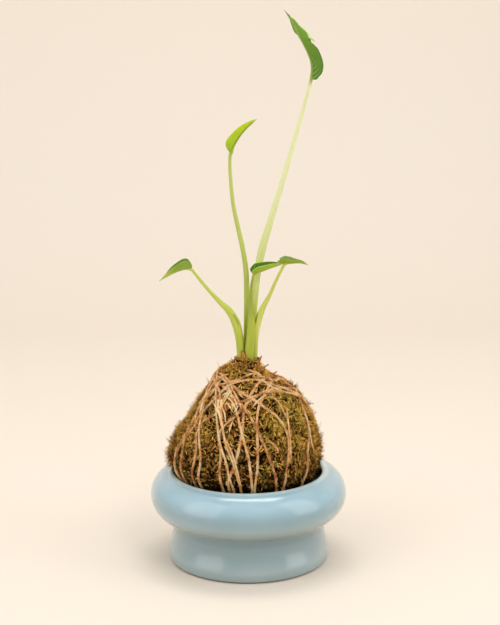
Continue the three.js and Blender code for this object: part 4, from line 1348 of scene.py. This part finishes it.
def rolledMargin(margin, edge, side, along, face):
    # the near edge, rolled into a thin tube that stands free at its lower end
    share = np.linspace(0, 1, len(edge))
    picked = np.flatnonzero((share >= margin["from"]) & (share <= margin["to"]))
    middle, along, side, face = (grid[picked] for grid in (edge, along, side, face))
    place = np.linspace(0, 1, len(picked))
    radius = margin["radius"] * (1 - place) ** 0.6 * (0.55 + 0.45 * smooth(place / 0.1)) + 0.2
    out = unit(np.cross(along, side))
    free = (1 - smooth(place / 0.12))[:, None]
    middle = middle - side * (radius[:, None] * 0.5) + (face * 2.4 - along * 1.8 - side * 0.6) * free
    turn = aroundRing(12)
    points = tubePoints(middle, side, out, radius[:, None], radius[:, None], turn)
    return points.reshape(-1, 3), gridFaces(len(picked), 12, wrapColumns=True)


def stalkMaterial(leaf):
    # Fleshy leaf stalk: juicy pale green with fine lengthwise streaks and a soft waxy sheen
    material, tree, shader = newMaterial(leaf["name"] + "FleshyStalk", {
        "Roughness": 0.42, "IOR": 1.42, "Subsurface Weight": 0.2, "Subsurface Radius": (0.8, 1.0, 0.3),
        "Subsurface Scale": 2 * mm,
    })
    share, hollow = (
        addNode(tree, "Attribute", {"attribute_name": layer}, "Fac") for layer in ("share", "hollow")
    )
    foot, low, middle, top = leaf["stalk"]
    tones = [(0.18, foot), (0.36, low), (0.65, middle), (0.94, middle), (1, top)]
    colour = addNode(tree, "ValToRGB", {"stops": tones, 0: share})
    # one unit of this layer is one streak, so the noise keeps its scale at 1
    streak = addNode(tree, "Attribute", {"attribute_name": "streak"}, "Vector")
    lines = addNode(tree, "TexNoise", {"Vector": streak, "Scale": 1, "Detail": 2})
    tone = addNode(tree, "ValToRGB", {"stops": [(0.3, 0.84), (0.7, 1)], 0: lines})
    colour = addNode(tree, "Mix", {**multiply, 0: 1, 6: colour, 7: tone}, 2)
    shaded = addNode(tree, "Mix", {**blend, 0: 0.7, 6: colour, 7: "#6E7A1E"}, 2)
    colour = addNode(tree, "Mix", {**blend, 0: hollow, 6: colour, 7: shaded}, 2)
    tree.links.new(colour, shader.inputs["Base Color"])
    bump = addNode(tree, "Bump", {"Strength": 0.4, "Distance": 0.12 * mm, "Height": lines})
    tree.links.new(bump, shader.inputs["Normal"])
    return material


def makeStalk(leaf):
    rings, sides = stalk["rings"], stalk["sides"]
    stations = np.array(leaf["petiole"])
    share = np.linspace(0, 1, rings)
    middle = curveThrough(stations[:, :3], False, rings, even=False)
    places = np.linspace(0, 1, len(stations))
    halfWidth = np.interp(share, places, stations[:, 3])
    halfDepth = np.interp(share, places, stations[:, 4])
    window = np.hanning(9)[1:-1] / np.hanning(9)[1:-1].sum()
    halfWidth, halfDepth = (
        np.convolve(np.pad(half, 3, mode="edge"), window, "valid") for half in (halfWidth, halfDepth)
    )
    spine = curveThrough(leaf["spine"], False, 101)
    spineFace = unit(squareTo(stopsAlong(np.linspace(0, 1, 101), leaf["face"]), waysAlong(spine)))
    picked = np.arange(2, 26, 2)
    reach = np.linspace(0, 1, len(picked))
    neck = spine[picked] + spineFace[picked] * (0.15 + 0.25 * smooth(reach * 3))[:, None]
    middle = np.vstack([middle, neck])
    along = waysAlong(middle)
    across = unit(np.cross(np.array([0, 1.0, 0]), along))
    deep = np.cross(along, across)
    thin = 1 - 0.72 * smooth(reach)
    halfWidth = np.append(halfWidth, halfWidth[-1] * thin)
    halfDepth = np.append(halfDepth, halfDepth[-1] * thin)
    share = np.append(share, np.ones(len(picked)))
    rings = len(middle)
    turn = aroundRing(sides)
    draw = np.random.default_rng(len(leaf["name"]) + int(leaf["name"][-1]))
    ribs = sum(0.010 * np.sin(k * turn + draw.uniform(0, 6)) for k in (5, 7, 11))
    form = 1 + ribs[None] * np.ones((rings, 1))
    hollow = np.zeros((rings, sides))
    if "slit" in leaf:
        slit = leaf["slit"]
        shown = smooth((share - slit["from"]) / 0.06) * (1 - smooth((share - slit["to"] + 0.02) / 0.02))
        off = (turn - math.radians(slit["angle"]) + math.pi) % (2 * math.pi) - math.pi
        dip = np.exp(-(off / 0.24) ** 2)[None] * shown[:, None]
        lips = np.exp(-((off - 0.55) / 0.2) ** 2) + 0.6 * np.exp(-((off + 0.55) / 0.2) ** 2)
        lips = lips[None] * shown[:, None]
        form = form - slit["depth"] * dip + 0.22 * lips * smooth((share - slit["from"]) / 0.2)[:, None]
        hollow = dip
    points = tubePoints(middle, across, deep, halfWidth[:, None] * form, halfDepth[:, None] * form, turn)
    wide, long = stalk["streak"]
    streak = np.stack([
        np.broadcast_to(np.cos(turn), (rings, sides)) * halfWidth[:, None] / wide,
        np.broadcast_to(np.sin(turn), (rings, sides)) * halfDepth[:, None] / wide,
        np.broadcast_to(placesAlong(middle)[:, None] / long, (rings, sides)),
    ], -1).reshape(-1, 3)
    layers = {
        "share": np.append(np.repeat(share, sides), [0, 1]),
        "hollow": np.append(hollow.ravel(), [0, 0]),
        "streak": np.vstack([streak, streak[:1], streak[-1:]]),
    }
    points = np.vstack([points.reshape(-1, 3), middle[:1], middle[-1:] + along[-1:] * 0.2])
    faces = gridFaces(rings, sides, wrapColumns=True)
    piece = newPiece(leaf["name"] + "_stalk", points, faces, [stalkMaterial(leaf)], layers=layers)
    closeEnds(piece, rings, sides)
    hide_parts(leaf["name"] + "_petiole")


for leaf in leaves:
    makeStalk(leaf)
    makeBlade(leaf)
print("leaves made")


# Dry scraps of old sheaths round the foot of the stalks, and the hidden soil and rootstock

scraps = [
    # foot, height, half width, lean sideways and inwards, curl and turn round from the front in degrees
    ((-2.6, -8.6, 169.4), 11, 4.6, (-1.5, 0.8), 75, -8),
    ((-5.5, -8.2, 168.6), 7.5, 2.4, (-2.6, -1.2), 60, -30),
    ((0.5, -9.6, 168.4), 6.5, 2.6, (1.2, -2.2), 50, 6),
    ((4.5, -8.6, 168.2), 6.5, 2.6, (2.2, -1.8), 60, 26),
    ((8.5, -6, 168), 6.2, 2.4, (3.4, -1.6), 70, 55),
    ((10.5, -2, 168), 5.4, 2.2, (3.4, -0.6), 60, 80),
    ((-8.5, -4, 168), 6, 2.2, (-3, -0.8), 60, -65),
    ((-9, 0.5, 168), 6, 2.4, (-2.8, 0.4), 70, -95),
    ((-3, -12, 166.6), 4.6, 2, (-1.4, -3), 40, -12),
    ((7, -12, 165.8), 5, 2, (2.4, -3), 40, 30),
    ((13, -12, 164.4), 5, 2, (3.4, -2.4), 55, 44),
    ((20, -17, 160.2), 4.6, 1.8, (3.2, -2.4), 50, 48),
    ((2, 9.5, 168), 7, 3, (0.5, 2), 75, 175),
]


def scrapMaterial():
    # Dried leaf sheath: papery, orange brown, split lengthwise, with a dull sheen
    material, tree, shader = newMaterial("dryPaperySheath", {"Roughness": 0.6})
    # its fibres are finer and would not show: drawn as streaks of 0.7 by 6 mm
    place = addNode(tree, "TexCoord", {}, "Object")
    scaled = (1 / (0.7 * mm), 1 / (0.7 * mm), 1 / (6 * mm))
    stretched = addNode(tree, "VectorMath", {"operation": "MULTIPLY", 0: place, 1: scaled})
    lines = addNode(tree, "TexNoise", {"Vector": stretched, "Scale": 1, "Detail": 2})
    tones = [(0.3, "#703C12"), (0.5, "#B06E2A"), (0.72, "#D8A452")]
    tree.links.new(addNode(tree, "ValToRGB", {"stops": tones, 0: lines}), shader.inputs["Base Color"])
    bump = addNode(tree, "Bump", {"Strength": 0.8, "Distance": 0.2 * mm, "Height": lines})
    tree.links.new(bump, shader.inputs["Normal"])
    return material


def makeScraps():
    parts = []
    draw = np.random.default_rng(31)
    rows, columns = 14, 13
    share = np.linspace(0, 1, rows)[:, None]
    sideways = np.linspace(-1, 1, columns)[None]
    faces = gridFaces(rows, columns)
    for foot, height, halfWidth, lean, curl, facing in scraps:
        ragged = 1 - 0.22 * draw.random((1, columns)) * np.ones((rows, 1))
        half = halfWidth * (1 - 0.9 * share ** 2.6) * (0.8 + 0.2 * np.sin(share * 9))
        curl, turn = math.radians(curl), math.radians(facing)
        bow = curl * sideways
        x = half * np.sin(bow) / curl + lean[0] * share ** 1.5
        y = -half * (np.cos(bow) - 1) / curl + lean[1] * share ** 2
        y = y + 0.25 * np.sin(share * 7 + sideways * 4)
        z = height * share * ragged - 1.2
        grid = np.stack([
            foot[0] + x * math.cos(turn) - y * math.sin(turn),
            foot[1] + x * math.sin(turn) + y * math.cos(turn),
            foot[2] + z,
        ], -1).reshape(-1, 3)
        out = np.array([math.sin(turn), -math.cos(turn), 0]) * 0.12
        both = np.vstack([faces, faces[:, ::-1] + len(grid)])
        parts.append((np.vstack([grid + out, grid - out]), both, {}))
    points, faces, _ = gather(parts)
    piece = newPiece("sheath_scraps", points, faces, [scrapMaterial()])
    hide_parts("dried_sheath")


def coverHidden(node, material):
    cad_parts[node].data.materials.clear()
    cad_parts[node].data.materials.append(material)


makeScraps()
# Damp potting peat, pressed into a ball: very dark, crumbly and dull
coverHidden("soil_core", grainedMaterial(
    "pressedPeat", {"Roughness": 0.95}, (4, 3), [(0.3, "#241A10"), (0.7, "#4A3826")], (1.5, 3, 0.8, 0.8),
))
# Corky rootstock: dull brown skin with rings of old leaf scars
coverHidden("rootstock", grainedMaterial(
    "corkyRootstock", {"Roughness": 0.8}, (5, 3), [(0.3, "#6B4E2C"), (0.7, "#9A7A4C")], (2, 3, 0.5, 0.7),
))
print("scraps and hidden parts done")
